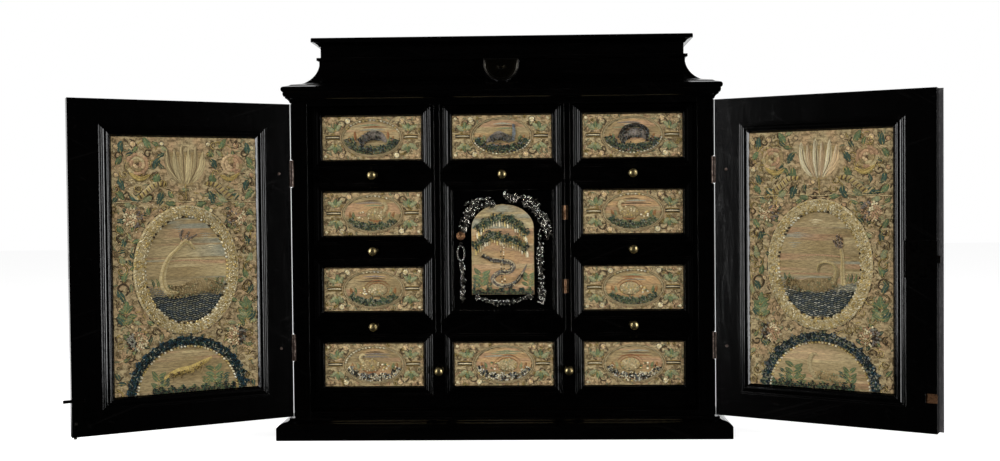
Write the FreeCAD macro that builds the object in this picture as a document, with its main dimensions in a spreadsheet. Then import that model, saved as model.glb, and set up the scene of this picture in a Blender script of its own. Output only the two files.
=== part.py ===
import FreeCAD, Part
import math
import os
import re
import Sketcher
from FreeCAD import Placement, Rotation, Vector

# A table cabinet in ebony: a carcass on a moulded base, eight drawers and a cupboard behind a pair of
# doors, and a concave crown with a lift-up lid over a shallow compartment.
# +X is the cabinet's right as seen from the front, +Y its back and +Z up. The origin is the centre of
# the carcass on the underside of the base. The pair of doors stands open, everything else is shut.

doc = FreeCAD.newDocument("TableCabinet")

DRIVING_SIZES = [
    # carcass
    ("carcass_width", 540, "outside, across the sides"),
    ("carcass_depth", 310, "front edges to back board"),
    ("side_thickness", 20, "side boards"),
    ("base_thickness", 16, "base board under the sides"),
    ("floor_thickness", 17.4, "board under the bottom drawer"),
    ("top_thickness", 14, "board over the top drawers"),
    ("back_thickness", 8, "back board, let in between the sides"),
    ("partition_thickness", 7, "upright between two columns"),
    ("dust_board_thickness", 6, "board between two rows"),
    ("board_gap", 0.4, "drawer front to the boards behind its rim"),
    # mouldings of the carcass
    ("base_projection", 20.5, "base moulding beyond the carcass"),
    ("base_height", 26.6, "base moulding"),
    ("base_band", 15.5, "plain band of the base moulding"),
    ("base_shoulder", 6, "flat top of the base moulding"),
    ("cornice_projection", 10.5, "cornice beyond the carcass"),
    ("cornice_height", 24, "cornice"),
    ("cornice_drop", 10.4, "cornice below the top of the carcass"),
    # crown and lid
    ("crown_setback", 31, "top of the cavetto behind the carcass"),
    ("crown_toe", 14.5, "foot of the cavetto behind the carcass"),
    ("crown_toe_height", 17, "foot of the cavetto above the carcass"),
    ("crown_neck_height", 41, "top of the cavetto above the carcass"),
    ("crown_height", 51, "joint of the lid above the carcass"),
    ("crown_wall", 14, "crown boards at their thinnest"),
    ("crown_bead", 3, "fillet under the lid"),
    ("lid_gap", 0.4, "joint of the lid"),
    ("lid_band", 14.2, "plain band of the lid"),
    ("lid_height", 25, "lid"),
    ("lid_projection", 10.8, "lid moulding beyond its band"),
    ("lid_board", 9, "top board of the lid"),
    ("boss_width", 46, "lock boss on the crown"),
    ("boss_drop", 29.5, "lock boss, top to bottom"),
    ("boss_setback", 14, "face of the lock boss behind the carcass front"),
    ("escutcheon_thickness", 1.6, "lock plate on the boss"),
    ("escutcheon_rim", 3.2, "raised rim of the lock plate"),
    # drawer grid
    ("face_recess", 18, "drawer fronts behind the carcass front"),
    ("row_pitch", 98.5, "one row to the next"),
    ("front_gap", 0.8, "between fronts, one above the other"),
    ("side_gap", 0.4, "beside a front"),
    ("front_thickness", 8, "drawer fronts and cupboard door"),
    ("frame_side", 4.35, "plain strip beside a moulded frame"),
    ("frame_foot", 17.6, "plain strip below a moulded frame, with the knob"),
    ("frame_inset", 0.6, "frame below the top of its front"),
    ("drawer_wall", 5, "drawer sides and back"),
    ("drawer_floor", 4, "drawer bottom"),
    ("drawer_clear", 11, "shut drawer box to the back board"),
    ("drawer_side_gap", 0.9, "drawer box to column"),
    ("drawer_top_gap", 5, "drawer box below the board above it"),
    ("running_gap", 0.3, "drawer box over the board that carries it"),
    # mouldings round the embroidery
    ("moulding_width", 12, "frame moulding of the fronts"),
    ("moulding_edge", 1.5, "outer edge of a frame moulding"),
    ("moulding_step", 1, "one reed higher than the last"),
    ("reed_width", 2.4, "one reed"),
    ("moulding_bevel", 2, "slope down to the panel"),
    ("panel_thickness", 1.2, "embroidered panel on its backing"),
    ("panel_gap", 0.1, "round a panel"),
    # knobs
    ("knob_radius", 5.75, "round head of a knob"),
    ("knob_reach", 11.4, "knob in front of its board"),
    ("knob_neck", 2.2, "radius of the neck"),
    ("knob_rose", 3.7, "radius of the foot"),
    ("knob_foot", 0.9, "thickness of the foot"),
    ("knob_head", 4.4, "back of the head in front of the board"),
    ("knob_dome", 2.4, "bevel round the head"),
    ("knob_tang", 1.3, "half the width of the square tang through the board"),
    ("pin_gap", 0.05, "round a tang or a hinge pin"),
    # cupboard door
    ("cupboard_foot", 18.6, "plain strip below the cupboard door's frame"),
    ("arch_margin", 23.75, "inside of the frame to the embroidered arch"),
    ("arch_foot", 31, "foot of the arch above the frame's foot"),
    ("arch_head", 28.5, "crown of the arch below the frame's head"),
    ("arch_rise", 31.5, "arch over its springing"),
    ("mount_thickness", 3.2, "cast mounts on the cupboard door"),
    ("spray_gap", 2, "spray outside the arch"),
    ("spray_width", 13, "spray"),
    ("garland_from_arch", 12.5, "middle of a garland outside the arch"),
    ("garland_half", 4.5, "half the width of a garland"),
    ("garland_length", 52, "garland"),
    ("garland_below", 26, "head of the right garland below the springing"),
    ("swag_inset", 9.5, "ends of the swag inside the sides of the arch"),
    ("swag_below", 3, "ends of the swag below the arch"),
    ("swag_drop", 13, "swag, ends to foot"),
    ("swag_sag", 4, "swag, ends to the middle of its upper edge"),
    ("rosette_radius", 4.6, "rosette"),
    ("rosette_below", 8, "rosette below the springing"),
    ("small_hinge_height", 18.2, "cupboard hinge"),
    ("small_hinge_reach", 4.2, "leaf beyond the pin"),
    ("small_hinge_radius", 1.5, "knuckle"),
    ("small_pin_radius", 0.7, "pin"),
    ("small_leaf", 0.8, "leaf thickness"),
    ("barrel_clear", 0.15, "small and lid knuckles off the wood"),
    ("small_hinge_low", 60, "lower cupboard hinge above the door's foot"),
    ("small_hinge_head", 40.7, "upper cupboard hinge below the door's head"),
    # pair of doors
    ("door_open_angle", 151.5, "how far both doors stand open"),
    ("door_thickness", 14, "door board"),
    ("door_gap", 0.5, "shut door to the carcass front"),
    ("door_end_gap", 1.2, "door to the base and the cornice"),
    ("meeting_gap", 0.8, "between the shut doors"),
    ("hinge_out", 0.3, "hinge pin beyond the side"),
    ("hinge_edge_gap", 1.5, "hinge pin to the door's edge"),
    ("door_panel_in", 47.3, "hinge pin to the panel"),
    ("door_panel_out_from_edge", 48.9, "panel to the meeting edge"),
    ("door_panel_low", 43.8, "door's foot to the panel"),
    ("door_panel_top", 45, "panel to the door's head"),
    ("door_moulding_width", 14, "moulding round a door panel"),
    ("astragal_width", 10, "strip over the joint of the doors"),
    # hinges of the pair of doors
    ("hinge_height", 34, "barrel"),
    ("hinge_radius", 3, "barrel"),
    ("hinge_pin_radius", 1.4, "pin"),
    ("hinge_leaf", 1.2, "leaf thickness"),
    ("hinge_leaf_length", 22, "leaf, from the pin"),
    ("hinge_from_end", 89.2, "hinge to the nearer end of the door"),
    ("hinge_relief", 0.4, "round the barrel in the wood"),
    ("kerf_gap", 0.05, "round a leaf in its kerf"),
    ("knuckle_gap", 0.2, "between two knuckles"),
    ("nail_from_pin", 16.5, "nail through the door leaf"),
    ("nail_head", 1.9, "radius of the nail head"),
    ("nail_rise", 0.35, "nail head over the wood, within the gap of the shut door"),
    ("nail_shank", 1, "half the diagonal of the square shank"),
    ("nail_depth", 9, "shank in the wood"),
    # locks and bolts
    ("tongue_height", 71, "tongue above the ground"),
    ("tongue_width", 3.6, "tongue, up and down"),
    ("tongue_thickness", 1.7, "tongue, front to back"),
    ("tongue_reach", 9.2, "tongue beyond the left door"),
    ("tongue_root", 15, "tongue let into the left door"),
    ("tongue_inset", 0.4, "tongue below the inner face"),
    ("strike_width", 13, "plate where the tongue lies"),
    ("strike_height", 11, "plate where the tongue lies"),
    ("strike_depth", 3.2, "recess for the tongue"),
    ("strike_plate", 0.8, "plate thickness"),
    ("bolt_from_edge", 4.8, "bottom bolt to the meeting edge"),
    ("bolt_depth", 10.2, "bottom bolt behind the inner face"),
    ("bolt_half", 1.6, "half the width of the square bottom bolt"),
    ("bolt_length", 30, "bottom bolt"),
    ("bolt_drop", 3.8, "bolt tip below the door as it stands"),
    ("bolt_travel_up", 4, "bolt drawn"),
    ("bolt_travel_down", 6, "bolt shot"),
    ("bolt_gap", 0.3, "round the bolt"),
    ("stud_half", 1.3, "half the width of the bolt's finger stud"),
    ("stud_rise", 1.4, "finger stud over the inner face"),
    ("stud_height", 20, "finger stud above the bolt's tip"),
    ("lock_height", 231, "lock bolt above the ground"),
    ("lock_bolt_width", 9, "lock bolt, up and down"),
    ("lock_bolt_thickness", 3, "lock bolt, front to back"),
    ("lock_bolt_length", 34, "lock bolt"),
    ("lock_bolt_reach", 3, "lock bolt beyond the edge as it stands"),
    ("lock_travel_in", 3, "lock bolt drawn"),
    ("lock_plate_width", 50, "lock case on the inner face, from the edge"),
    ("lock_plate_height", 44, "lock case"),
    ("lock_plate_depth", 9, "lock case let into the door"),
    ("lock_mortise_height", 30, "mortise for the lock bolt in the left door"),
    ("lock_mortise_depth", 14, "mortise for the lock bolt in the left door"),
    ("lock_gap", 0.3, "round the lock bolt"),
    ("key_drop", 4, "key circle below the middle of the lock"),
    ("key_plate_radius", 9, "keyhole plate on the outer face"),
    ("key_plate_thickness", 1.2, "keyhole plate on the outer face"),
    ("keyhole_radius", 1.6, "keyhole"),
    ("keyhole_drop", 5, "keyhole, top circle to foot"),
    # lid hinges
    ("lid_hinge_width", 26, "along the pin"),
    ("lid_hinge_reach", 15, "leaf beyond the pin"),
    ("lid_hinge_radius", 2.1, "knuckle"),
    ("lid_pin_radius", 1, "pin"),
    ("lid_hinge_from_end", 89, "lid hinge to the nearer end of the crown"),
]

WORKED_SIZES = [
    ("front_plane", "-carcass_depth / 2"),
    ("back_plane", "carcass_depth / 2"),
    ("inside_half", "carcass_width / 2 - side_thickness"),
    ("column_width", "(2 * inside_half - 2 * partition_thickness) / 3"),
    ("column_pitch", "column_width + partition_thickness"),
    ("floor_top", "base_thickness + floor_thickness"),
    ("rows_bottom", "floor_top + front_gap"),
    ("ceiling", "rows_bottom + 4 * row_pitch"),
    ("carcass_top", "ceiling + top_thickness"),
    ("face_plane", "front_plane + face_recess"),
    ("board_plane", "face_plane + front_thickness + board_gap"),
    ("inner_back", "back_plane - back_thickness"),
    ("front_width", "column_width - 2 * side_gap"),
    ("front_height", "row_pitch - front_gap"),
    ("long_width", "2 * inside_half - 2 * side_gap"),
    ("frame_width", "front_width - 2 * frame_side"),
    ("frame_height", "front_height - frame_inset - frame_foot"),
    ("frame_middle", "front_height - frame_inset - frame_height / 2"),
    ("panel_width", "frame_width - 2 * moulding_width"),
    ("panel_height", "frame_height - 2 * moulding_width"),
    ("knob_height", "frame_foot / 2"),
    ("drawer_length", "inner_back - drawer_clear - face_plane - front_thickness"),
    ("box_rise", "(dust_board_thickness - front_gap) / 2 + running_gap"),
    ("box_height", "row_pitch - dust_board_thickness - drawer_top_gap"),
    ("cupboard_height", "2 * row_pitch - front_gap"),
    ("cupboard_frame_height", "cupboard_height - frame_inset - cupboard_foot"),
    ("cupboard_middle", "cupboard_height - frame_inset - cupboard_frame_height / 2"),
    ("arch_width", "frame_width - 2 * moulding_width - 2 * arch_margin"),
    ("arch_low", "cupboard_foot + arch_foot"),
    ("arch_side", "cupboard_frame_height - arch_foot - arch_rise - arch_head"),
    ("swag_half", "arch_width / 2 - swag_inset"),
    ("small_hinge_high", "cupboard_height - small_hinge_head"),
    ("cupboard_pin_x", "column_width / 2 - side_gap / 2"),
    ("cupboard_pin_y", "face_plane - small_hinge_radius - barrel_clear"),
    ("hinge_x", "carcass_width / 2 + hinge_out"),
    ("hinge_y", "front_plane - door_gap / 2"),
    ("door_inner", "-door_gap / 2"),
    ("door_outer", "door_inner - door_thickness"),
    ("door_edge", "hinge_x - meeting_gap / 2"),
    ("door_low", "base_height + door_end_gap"),
    ("door_high", "carcass_top - cornice_drop - door_end_gap"),
    ("door_middle", "(door_low + door_high) / 2"),
    ("hinge_offset", "(door_high - door_low) / 2 - hinge_from_end"),
    ("door_panel_out", "door_edge - door_panel_out_from_edge"),
    ("door_panel_foot", "door_low + door_panel_low"),
    ("door_panel_head", "door_high - door_panel_top"),
    ("notch_radius", "hinge_radius + hinge_relief"),
    ("crown_top", "carcass_top + crown_height"),
    ("lid_low", "crown_top + lid_gap"),
    ("lid_top", "lid_low + lid_height"),
    ("crown_half", "carcass_width / 2 - crown_setback"),
    ("crown_inner", "crown_half - crown_wall"),
    ("crown_front", "front_plane + crown_setback + crown_wall"),
    ("boss_reach", "carcass_depth / 2 - boss_setback"),
    ("lid_hinge_place", "crown_half - lid_hinge_from_end"),
    ("lid_pin_y", "back_plane + lid_hinge_radius + barrel_clear"),
    ("lid_pin_z", "crown_top + lid_gap / 2"),
    ("bolt_low", "door_low - bolt_drop"),
]

KNOB_SIDES = 16
BARREL_SIDES = 16

sheet = doc.addObject("Spreadsheet::Sheet", "Sizes")
worked = doc.addObject("Spreadsheet::Sheet", "Worked")
home = {}


def formula(text):
    """A formula with the sheet's name put in front of each alias."""
    return re.sub(r"[a-z]\w*", lambda word: home.get(word[0], "") + word[0], str(text))


def number(text):
    """What a formula comes to."""
    return float(sheet.evalExpression(formula(text)))


for line, (alias, size, meaning) in enumerate(DRIVING_SIZES, start=1):
    sheet.set(f"A{line}", meaning)
    sheet.set(f"B{line}", str(size))
    sheet.setAlias(f"B{line}", alias)
    home[alias] = "Sizes."
doc.recompute()
for line, (alias, rule) in enumerate(WORKED_SIZES, start=1):
    worked.set(f"A{line}", alias)
    worked.set(f"B{line}", "=" + formula(rule))
    worked.setAlias(f"B{line}", alias)
    home[alias] = "Worked."
doc.recompute()


# Building blocks. Every size is given as a formula in the sheets' names.

def bind(thing, **rules):
    """Tie properties of an object to formulas; a double underscore stands for a dot."""
    for name, rule in rules.items():
        thing.setExpression(name.replace("__", "."), formula(rule))


def board(x, y, z):
    """A box from its low and high bounds along each axis."""
    box = doc.addObject("Part::Box", "Board")
    for length, axis, (low, high) in zip(("Length", "Width", "Height"), "xyz", (x, y, z)):
        bind(box, **{length: f"({high}) - ({low})", f"Placement__Base__{axis}": low})
    return box


def rod(radius, start, length, along="z", sides=0):
    """A cylinder, or a prism with so many sides, from a start point along Y or Z."""
    if sides:
        bar = doc.addObject("Part::Prism", "Bar")
        bar.Polygon = sides
        bind(bar, Circumradius=radius, Height=length)
    else:
        bar = doc.addObject("Part::Cylinder", "Rod")
        bind(bar, Radius=radius, Height=length)
    if along == "y":
        bar.Placement.Rotation = Rotation(Vector(1, 0, 0), -90)
    for axis, place in zip("xyz", start):
        bind(bar, **{f"Placement__Base__{axis}": place})
    return bar


def fuse(*shapes):
    union = doc.addObject("Part::MultiFuse", "Union")
    union.Shapes = list(shapes)
    return union


def cut(base, *tools):
    remainder = doc.addObject("Part::Cut", "Cut")
    remainder.Base = base
    remainder.Tool = tools[0] if len(tools) == 1 else fuse(*tools)
    return remainder


def group(*shapes):
    """Separate solids kept side by side."""
    compound = doc.addObject("Part::Compound", "Group")
    compound.Links = list(shapes)
    return compound


def placed(shape, x=0, y=0, z=0, turn=0, axis=(0, 0, 1)):
    """Move a shape to a point, turned about an axis."""
    shape.Placement.Rotation = Rotation(Vector(*axis), 0)
    bind(shape, Placement__Base__x=x, Placement__Base__y=y, Placement__Base__z=z,
         Placement__Rotation__Angle=turn)
    return shape


def across(side, low, high):
    """Bounds along X of what lies between two distances from a pin, on the left or the right door."""
    return (low, high) if side > 0 else (f"-({high})", f"-({low})")


def new_body(name):
    return doc.addObject("PartDesign::Body", name)


def sketch(body, plane, offset=0):
    """An empty sketch in one of the body's own planes, set off along the plane's normal."""
    drawing = body.newObject("Sketcher::SketchObject", "Sketch")
    origin_plane = [part for part in body.Origin.OriginFeatures if part.Role == plane + "_Plane"][0]
    drawing.AttachmentSupport = (origin_plane, [""])
    drawing.MapMode = "FlatFace"
    bind(drawing, AttachmentOffset__Base__z=offset)
    return drawing


def arc_between(start, end, radius):
    """The short arc between two points; its centre lies to the left of the way when radius is positive."""
    chord = end - start
    left = Vector(-chord.y, chord.x, 0).normalize() * math.copysign(1, radius)
    height = math.sqrt(max(radius ** 2 - (chord.Length / 2) ** 2, 0))
    centre = (start + end) / 2 + left * height
    angles = [math.atan2((point - centre).y, (point - centre).x) for point in (start, end)]
    circle = Part.Circle(centre, Vector(0, 0, 1), abs(radius))
    if radius < 0:
        angles.reverse()
    return Part.ArcOfCircle(circle, angles[0], angles[1])


def constrain(drawing, rule, kind, *place):
    """A dimension of a sketch, tied to a formula."""
    index = drawing.addConstraint(Sketcher.Constraint(kind, *place, number(rule)))
    drawing.renameConstraint(index, f"size{index}")
    drawing.setExpression(f"Constraints.size{index}", formula(rule))


def outline(drawing, points, closed=True):
    """Draw lines and arcs through points (x, y) or (x, y, radius of the arc that leads there)."""
    spots = [Vector(number(point[0]), number(point[1]), 0) for point in points]
    steps = range(len(points)) if closed else range(len(points) - 1)
    before = drawing.GeometryCount
    ends = []
    for step in steps:
        target = (step + 1) % len(points)
        first, last = spots[step], spots[target]
        radius = number(points[target][2]) if len(points[target]) > 2 else 0
        if radius:
            drawing.addGeometry(arc_between(first, last, radius), False)
            constrain(drawing, f"abs({points[target][2]})", "Radius", before + step)
        else:
            drawing.addGeometry(Part.LineSegment(first, last), False)
        ends.append((2, 1) if radius < 0 else (1, 2))
    for step in steps:
        follower = (step + 1) % len(points)
        if follower in steps:
            drawing.addConstraint(Sketcher.Constraint(
                "Coincident", before + step, ends[step][1], before + follower, ends[follower][0]))
    for index, point in enumerate(points):
        edge, end = (index, ends[index][0]) if index in steps else (index - 1, ends[index - 1][1])
        constrain(drawing, point[0], "DistanceX", before + edge, end)
        constrain(drawing, point[1], "DistanceY", before + edge, end)
    return drawing


def circle(drawing, x, y, radius):
    """Draw a circle."""
    spot = Vector(number(x), number(y), 0)
    edge = drawing.addGeometry(Part.Circle(spot, Vector(0, 0, 1), number(radius)), False)
    constrain(drawing, x, "DistanceX", edge, 3)
    constrain(drawing, y, "DistanceY", edge, 3)
    constrain(drawing, radius, "Radius", edge)
    return drawing


def rectangle(x, y):
    """Corners of a rectangle from its bounds, for a sketch that lies in the XZ plane."""
    return [(x[0], y[0]), (x[1], y[0]), (x[1], y[1]), (x[0], y[1])]


def pad(body, profile, length, reverse=False, middle=False):
    feature = body.newObject("PartDesign::Pad", "Pad")
    feature.Profile = profile
    feature.Reversed = reverse
    feature.SideType = "Symmetric" if middle else "One side"
    bind(feature, Length=length)
    return feature


def pocket(body, profile, length, reverse=False):
    feature = body.newObject("PartDesign::Pocket", "Pocket")
    feature.Profile = profile
    feature.Reversed = reverse
    bind(feature, Length=length)
    return feature


def sweep(body, profile, spine, edges):
    """A moulding mitred along its spine."""
    feature = body.newObject("PartDesign::AdditivePipe", "Moulding")
    feature.Profile = profile
    feature.Spine = (spine, [f"Edge{edge}" for edge in range(1, edges + 1)])
    feature.Transition = "Right corner"
    return feature


nodes = []


def node(label, shape):
    """Name a finished sub-part; it goes into a file of that name."""
    shape.Label = label
    nodes.append(shape)
    return shape


# Reeded frame mouldings: two reeds at the outside, a hollow, a reed and a slope down to the panel.
# The outline runs over the moulding from its outer edge; out is how far it stands off the board.

def reeded_profile(width, out, up):
    """Points of the moulding; out and up turn a height and a distance into sketch coordinates."""
    curve = "reed_width"
    hollow = f"0.75 * ({width} - 3 * reed_width - moulding_bevel)"
    levels = ["moulding_edge", "moulding_edge + moulding_step", "moulding_edge + 2 * moulding_step"]
    inner = f"{width} - moulding_bevel"
    turn = 1 if out("1").startswith("-") else -1
    reed = f"{turn} * ({curve})"
    run = [
        ("0", "0"),
        ("0", levels[0]),
        ("reed_width", levels[0], reed),
        ("reed_width", levels[1]),
        ("2 * reed_width", levels[1], reed),
        (f"{inner} - reed_width", levels[2], f"-({turn}) * ({hollow})"),
        (inner, levels[2], reed),
        (width, "panel_thickness"),
        (width, "0"),
    ]
    return [(out(height), up(distance), *bend) for distance, height, *bend in run]


def frame_moulding(body, x, z, width, face, outward):
    """A mitred frame round a panel; x and z are the outer bounds, outward is -1 or 1 along Y."""
    spine = outline(sketch(body, "XZ", f"-({face})"), rectangle(x, z))
    middle = f"(({x[0]}) + ({x[1]})) / 2"
    profile = outline(
        sketch(body, "YZ", middle),
        reeded_profile(
            width,
            lambda height: f"{'-' if outward < 0 else ''}({height}) + ({face})",
            lambda distance: f"({z[0]}) + ({distance})"))
    sweep(body, profile, spine, 4)


# Drawer fronts and the cupboard door. Each is drawn about the middle of its foot, face at y = 0.

def moulded_front(name, width, height, frames, frame_height, frame_z, holes):
    body = new_body(name)
    face = outline(sketch(body, "XZ"), rectangle((f"-{width} / 2", f"{width} / 2"), ("0", height)))
    pad(body, face, "front_thickness", reverse=True)
    for place in frames:
        frame_moulding(
            body,
            (f"{place} - frame_width / 2", f"{place} + frame_width / 2"),
            (f"{frame_z} - {frame_height} / 2", f"{frame_z} + {frame_height} / 2"),
            "moulding_width", "0", -1)
    mortises = sketch(body, "XZ")
    for x, z, half_x, half_z in holes:
        outline(mortises, rectangle(
            (f"{x} - {half_x}", f"{x} + {half_x}"), (f"{z} - {half_z}", f"{z} + {half_z}")))
    pocket(body, mortises, "front_thickness")
    return body


def panel(width, height, x, z, face):
    """A plain embroidered panel, lying on the board inside its moulding."""
    return board(
        (f"{x} - {width} / 2 + panel_gap", f"{x} + {width} / 2 - panel_gap"),
        (f"{face} - panel_thickness", face),
        (f"{z} - {height} / 2 + panel_gap", f"{z} + {height} / 2 - panel_gap"))


def faceted(body, radius, start, length):
    """A disc of many small flats in the XZ plane, from a start towards the front."""
    corners = [turn * 2 * math.pi / KNOB_SIDES for turn in range(KNOB_SIDES)]
    return pad(body, outline(sketch(body, "XZ", start), [
        (f"{math.cos(corner):.5f} * {radius}", f"{math.sin(corner):.5f} * {radius}")
        for corner in corners]), length)


def bevel(body, base, level, inner, size):
    """Bevel the edges that lie at a level in front of the board and outside a radius."""
    doc.recompute()
    rim = [f"Edge{index}" for index, edge in enumerate(base.Shape.Edges, start=1)
           if all(abs(corner.Y + number(level)) < 1e-3 and math.hypot(corner.X, corner.Z) > number(inner)
                  for corner in edge.Vertexes)]
    feature = body.newObject("PartDesign::Chamfer", "Bevel")
    feature.Base = (base, rim)
    bind(feature, Size=size)
    return feature


# A knob is cast and filed up in small flats, with a square tang; the board's face is at y = 0.

knob = new_body("Knob")
faceted(knob, "knob_rose", "0", "knob_foot")
faceted(knob, "knob_neck", "knob_foot", "knob_head - knob_foot")
knob_head = faceted(knob, "knob_radius", "knob_head", "knob_reach - knob_head")
knob_front = bevel(knob, knob_head, "knob_reach", "0.8 * knob_radius", "knob_dome")
knob_back = bevel(knob, knob_front, "knob_head", "0.8 * knob_radius", "knob_dome / 2")
pad(knob, outline(sketch(knob, "XZ"), rectangle(("-knob_tang", "knob_tang"), ("-knob_tang", "knob_tang"))),
    "front_thickness", reverse=True)


def drawer_box(width, rise):
    """Drawer sides, back and bottom, open in front where the drawer front closes it."""
    body = new_body("Box")
    half = f"({width}) / 2"
    outside = outline(sketch(body, "XY", rise), [
        (f"-{half}", "front_thickness"), (half, "front_thickness"),
        (half, "front_thickness + drawer_length"), (f"-{half}", "front_thickness + drawer_length")])
    pad(body, outside, f"box_height + box_rise - ({rise})")
    inner = f"({half} - drawer_wall)"
    rear = "front_thickness + drawer_length - drawer_wall"
    inside = outline(sketch(body, "XY", "box_rise + box_height"), [
        (f"-{inner}", "front_thickness"), (inner, "front_thickness"),
        (inner, rear), (f"-{inner}", rear)])
    pocket(body, inside, f"box_height + box_rise - ({rise}) - drawer_floor")
    return body


def drawer(label, column, row, long=False):
    """One drawer: its front, box, embroidered panels and knobs."""
    width = "long_width" if long else "front_width"
    places = ["-column_pitch", "0", "column_pitch"] if long else ["0"]
    if long:
        knobs = [("-column_pitch / 2", "front_height / 2"), ("column_pitch / 2", "front_height / 2")]
    else:
        knobs = [("0", "knob_height")]
    rise = "running_gap - front_gap" if long else "box_rise"
    box_width = f"{width} + 2 * side_gap - 2 * drawer_side_gap"
    mortises = [(x, z, "(knob_tang + pin_gap)", "(knob_tang + pin_gap)") for x, z in knobs]
    front = moulded_front(
        "Front", width, "front_height", places, "frame_height", "frame_middle", mortises)
    panels = [panel("panel_width", "panel_height", x, "frame_middle", "0") for x in places]
    parts = {
        "front": front,
        "box": drawer_box(box_width, rise),
        "embroidery": group(*panels),
        "knob": group(*[placed(group(knob), x, 0, z) for x, z in knobs]),
    }
    for name, part in parts.items():
        node(f"{label}_{name}",
             placed(part, f"{column} * column_pitch", "face_plane", f"rows_bottom + {row} * row_pitch"))


# Carcass. The sides are kerfed for the hinge leaves and hollowed for the hinge barrels.

def hinge_levels():
    return ["door_middle - hinge_offset", "door_middle + hinge_offset"]


def barrel_hollow(level):
    """The hollow in the wood round a hinge barrel, about the pin."""
    tall = "hinge_height / 2 + hinge_relief"
    return rod("notch_radius", ("0", "0", f"{level} - ({tall})"), f"2 * ({tall})")


def leaf_kerf(side, level):
    """The slot for a leaf that leaves the pin along X."""
    return board(
        across(side, "0", "hinge_leaf_length + kerf_gap"),
        ("-hinge_radius - kerf_gap", "-hinge_radius + hinge_leaf + kerf_gap"),
        (f"{level} - hinge_height / 2 - kerf_gap", f"{level} + hinge_height / 2 + kerf_gap"))


def carcass_side(side):
    outer = "carcass_width / 2"
    plank = board(
        (f"-{outer}", "-inside_half") if side > 0 else ("inside_half", outer),
        ("front_plane", "back_plane"),
        ("base_thickness", "carcass_top"))
    hollows = group(*[barrel_hollow(level) for level in hinge_levels()])
    kerfs = group(*[leaf_kerf(side, level) for level in hinge_levels()])
    placed(hollows, f"{-side} * hinge_x", "hinge_y", 0)
    placed(kerfs, f"{-side} * hinge_x", "hinge_y", 0, 90 * side)
    return cut(plank, hollows, kerfs)


def partition(side):
    """An upright standing on the long dust board, with a lip in front of that board."""
    body = new_body("Partition")
    foot = "rows_bottom + row_pitch - front_gap / 2 + dust_board_thickness / 2"
    lip = "rows_bottom + row_pitch"
    face = outline(sketch(body, "YZ", f"{side} * (column_width + partition_thickness) / 2"), [
        ("face_plane", lip), ("board_plane", lip), ("board_plane", foot),
        ("inner_back", foot), ("inner_back", "ceiling"), ("face_plane", "ceiling")])
    pad(body, face, "partition_thickness", middle=True)
    return body


def dust_board(x, row):
    middle = f"rows_bottom + {row} * row_pitch - front_gap / 2"
    return board(x, ("board_plane", "inner_back"),
                 (f"{middle} - dust_board_thickness / 2", f"{middle} + dust_board_thickness / 2"))


def surround(name, back, half, front, points):
    """A moulding round the left side, the front and the right side, mitred at the front corners."""
    body = new_body(name)
    spine = outline(sketch(body, "XY"), [
        (f"-({half})", back), (f"-({half})", front), (half, front), (half, back)], closed=False)
    profile = outline(sketch(body, "XZ", f"-({back})"), points)
    sweep(body, profile, spine, 3)
    return body


def outward(points):
    """Profile points (distance outside the carcass, height) on the left side's end."""
    return [(f"-carcass_width / 2 - ({out})", height, *bend) for out, height, *bend in points]


half_width = "carcass_width / 2"
base_moulding = surround("BaseMoulding", "back_plane", half_width, "front_plane", outward([
    ("0", "0"),
    ("base_projection - 1.2", "0"),
    ("base_projection", "1.2", "-1.4"),
    ("base_projection", "base_band"),
    ("base_projection - 1.4", "base_band + 2", "-2.4"),
    ("base_shoulder + 3.4", "base_band + 7", "-12"),
    ("base_shoulder", "base_height - 2", "9"),
    ("base_shoulder", "base_height"),
    ("0", "base_height"),
]))
bolt_x = "(-hinge_x + door_edge - bolt_from_edge)"
bolt_hole_y = "(hinge_y + door_inner - bolt_depth)"
bolt_hole = board(
    (f"{bolt_x} - bolt_half - bolt_gap", f"{bolt_x} + bolt_half + bolt_gap"),
    (f"{bolt_hole_y} - bolt_half - bolt_gap", f"{bolt_hole_y} + bolt_half + bolt_gap"),
    ("bolt_low - bolt_travel_down - 2", "base_height + 1"))
base_board = board(
    (f"-{half_width}", half_width), ("front_plane", "back_plane"), ("0", "base_thickness"))
node("base", group(base_board, cut(base_moulding, bolt_hole)))
node("carcass_sides", group(carcass_side(1), carcass_side(-1)))
node("floor_board", board(
    ("-inside_half", "inside_half"), ("front_plane", "inner_back"), ("base_thickness", "floor_top")))
node("top_board", board(
    ("-inside_half", "inside_half"), ("front_plane", "inner_back"), ("ceiling", "carcass_top")))
node("back_board", board(
    ("-inside_half", "inside_half"), ("inner_back", "back_plane"), ("base_thickness", "carcass_top")))
node("partitions", group(partition(-1), partition(1)))

inner_edge = "column_width / 2"
outer_column = (f"{inner_edge} + partition_thickness", "inside_half")
left_column = ("-inside_half", f"-{inner_edge} - partition_thickness")
node("dust_boards", group(
    dust_board(("-inside_half", "inside_half"), 1),
    *[dust_board(column, row) for row in (2, 3) for column in (left_column, outer_column)],
    dust_board((f"-{inner_edge}", inner_edge), 3)))

# Cornice round the head of the carcass, and the crown that stands on it.

cornice_low = "carcass_top - cornice_drop"
cornice_top = f"{cornice_low} + cornice_height"
node("cornice", surround("Cornice", "back_plane", half_width, "front_plane", outward([
    ("0", cornice_low),
    ("1.5", cornice_low),
    ("cornice_projection - 4", f"{cornice_low} + 6", "8"),
    ("cornice_projection - 4", f"{cornice_low} + 8"),
    ("cornice_projection - 2.5", f"{cornice_low} + 8"),
    ("cornice_projection - 1.6", f"{cornice_low} + 13.5", "-8"),
    ("cornice_projection", f"{cornice_low} + 15"),
    ("cornice_projection - 1.2", f"{cornice_low} + 20.6", "-4.2"),
    ("2.5", f"{cornice_low} + 22.6"),
    ("0", cornice_top),
])))

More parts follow.
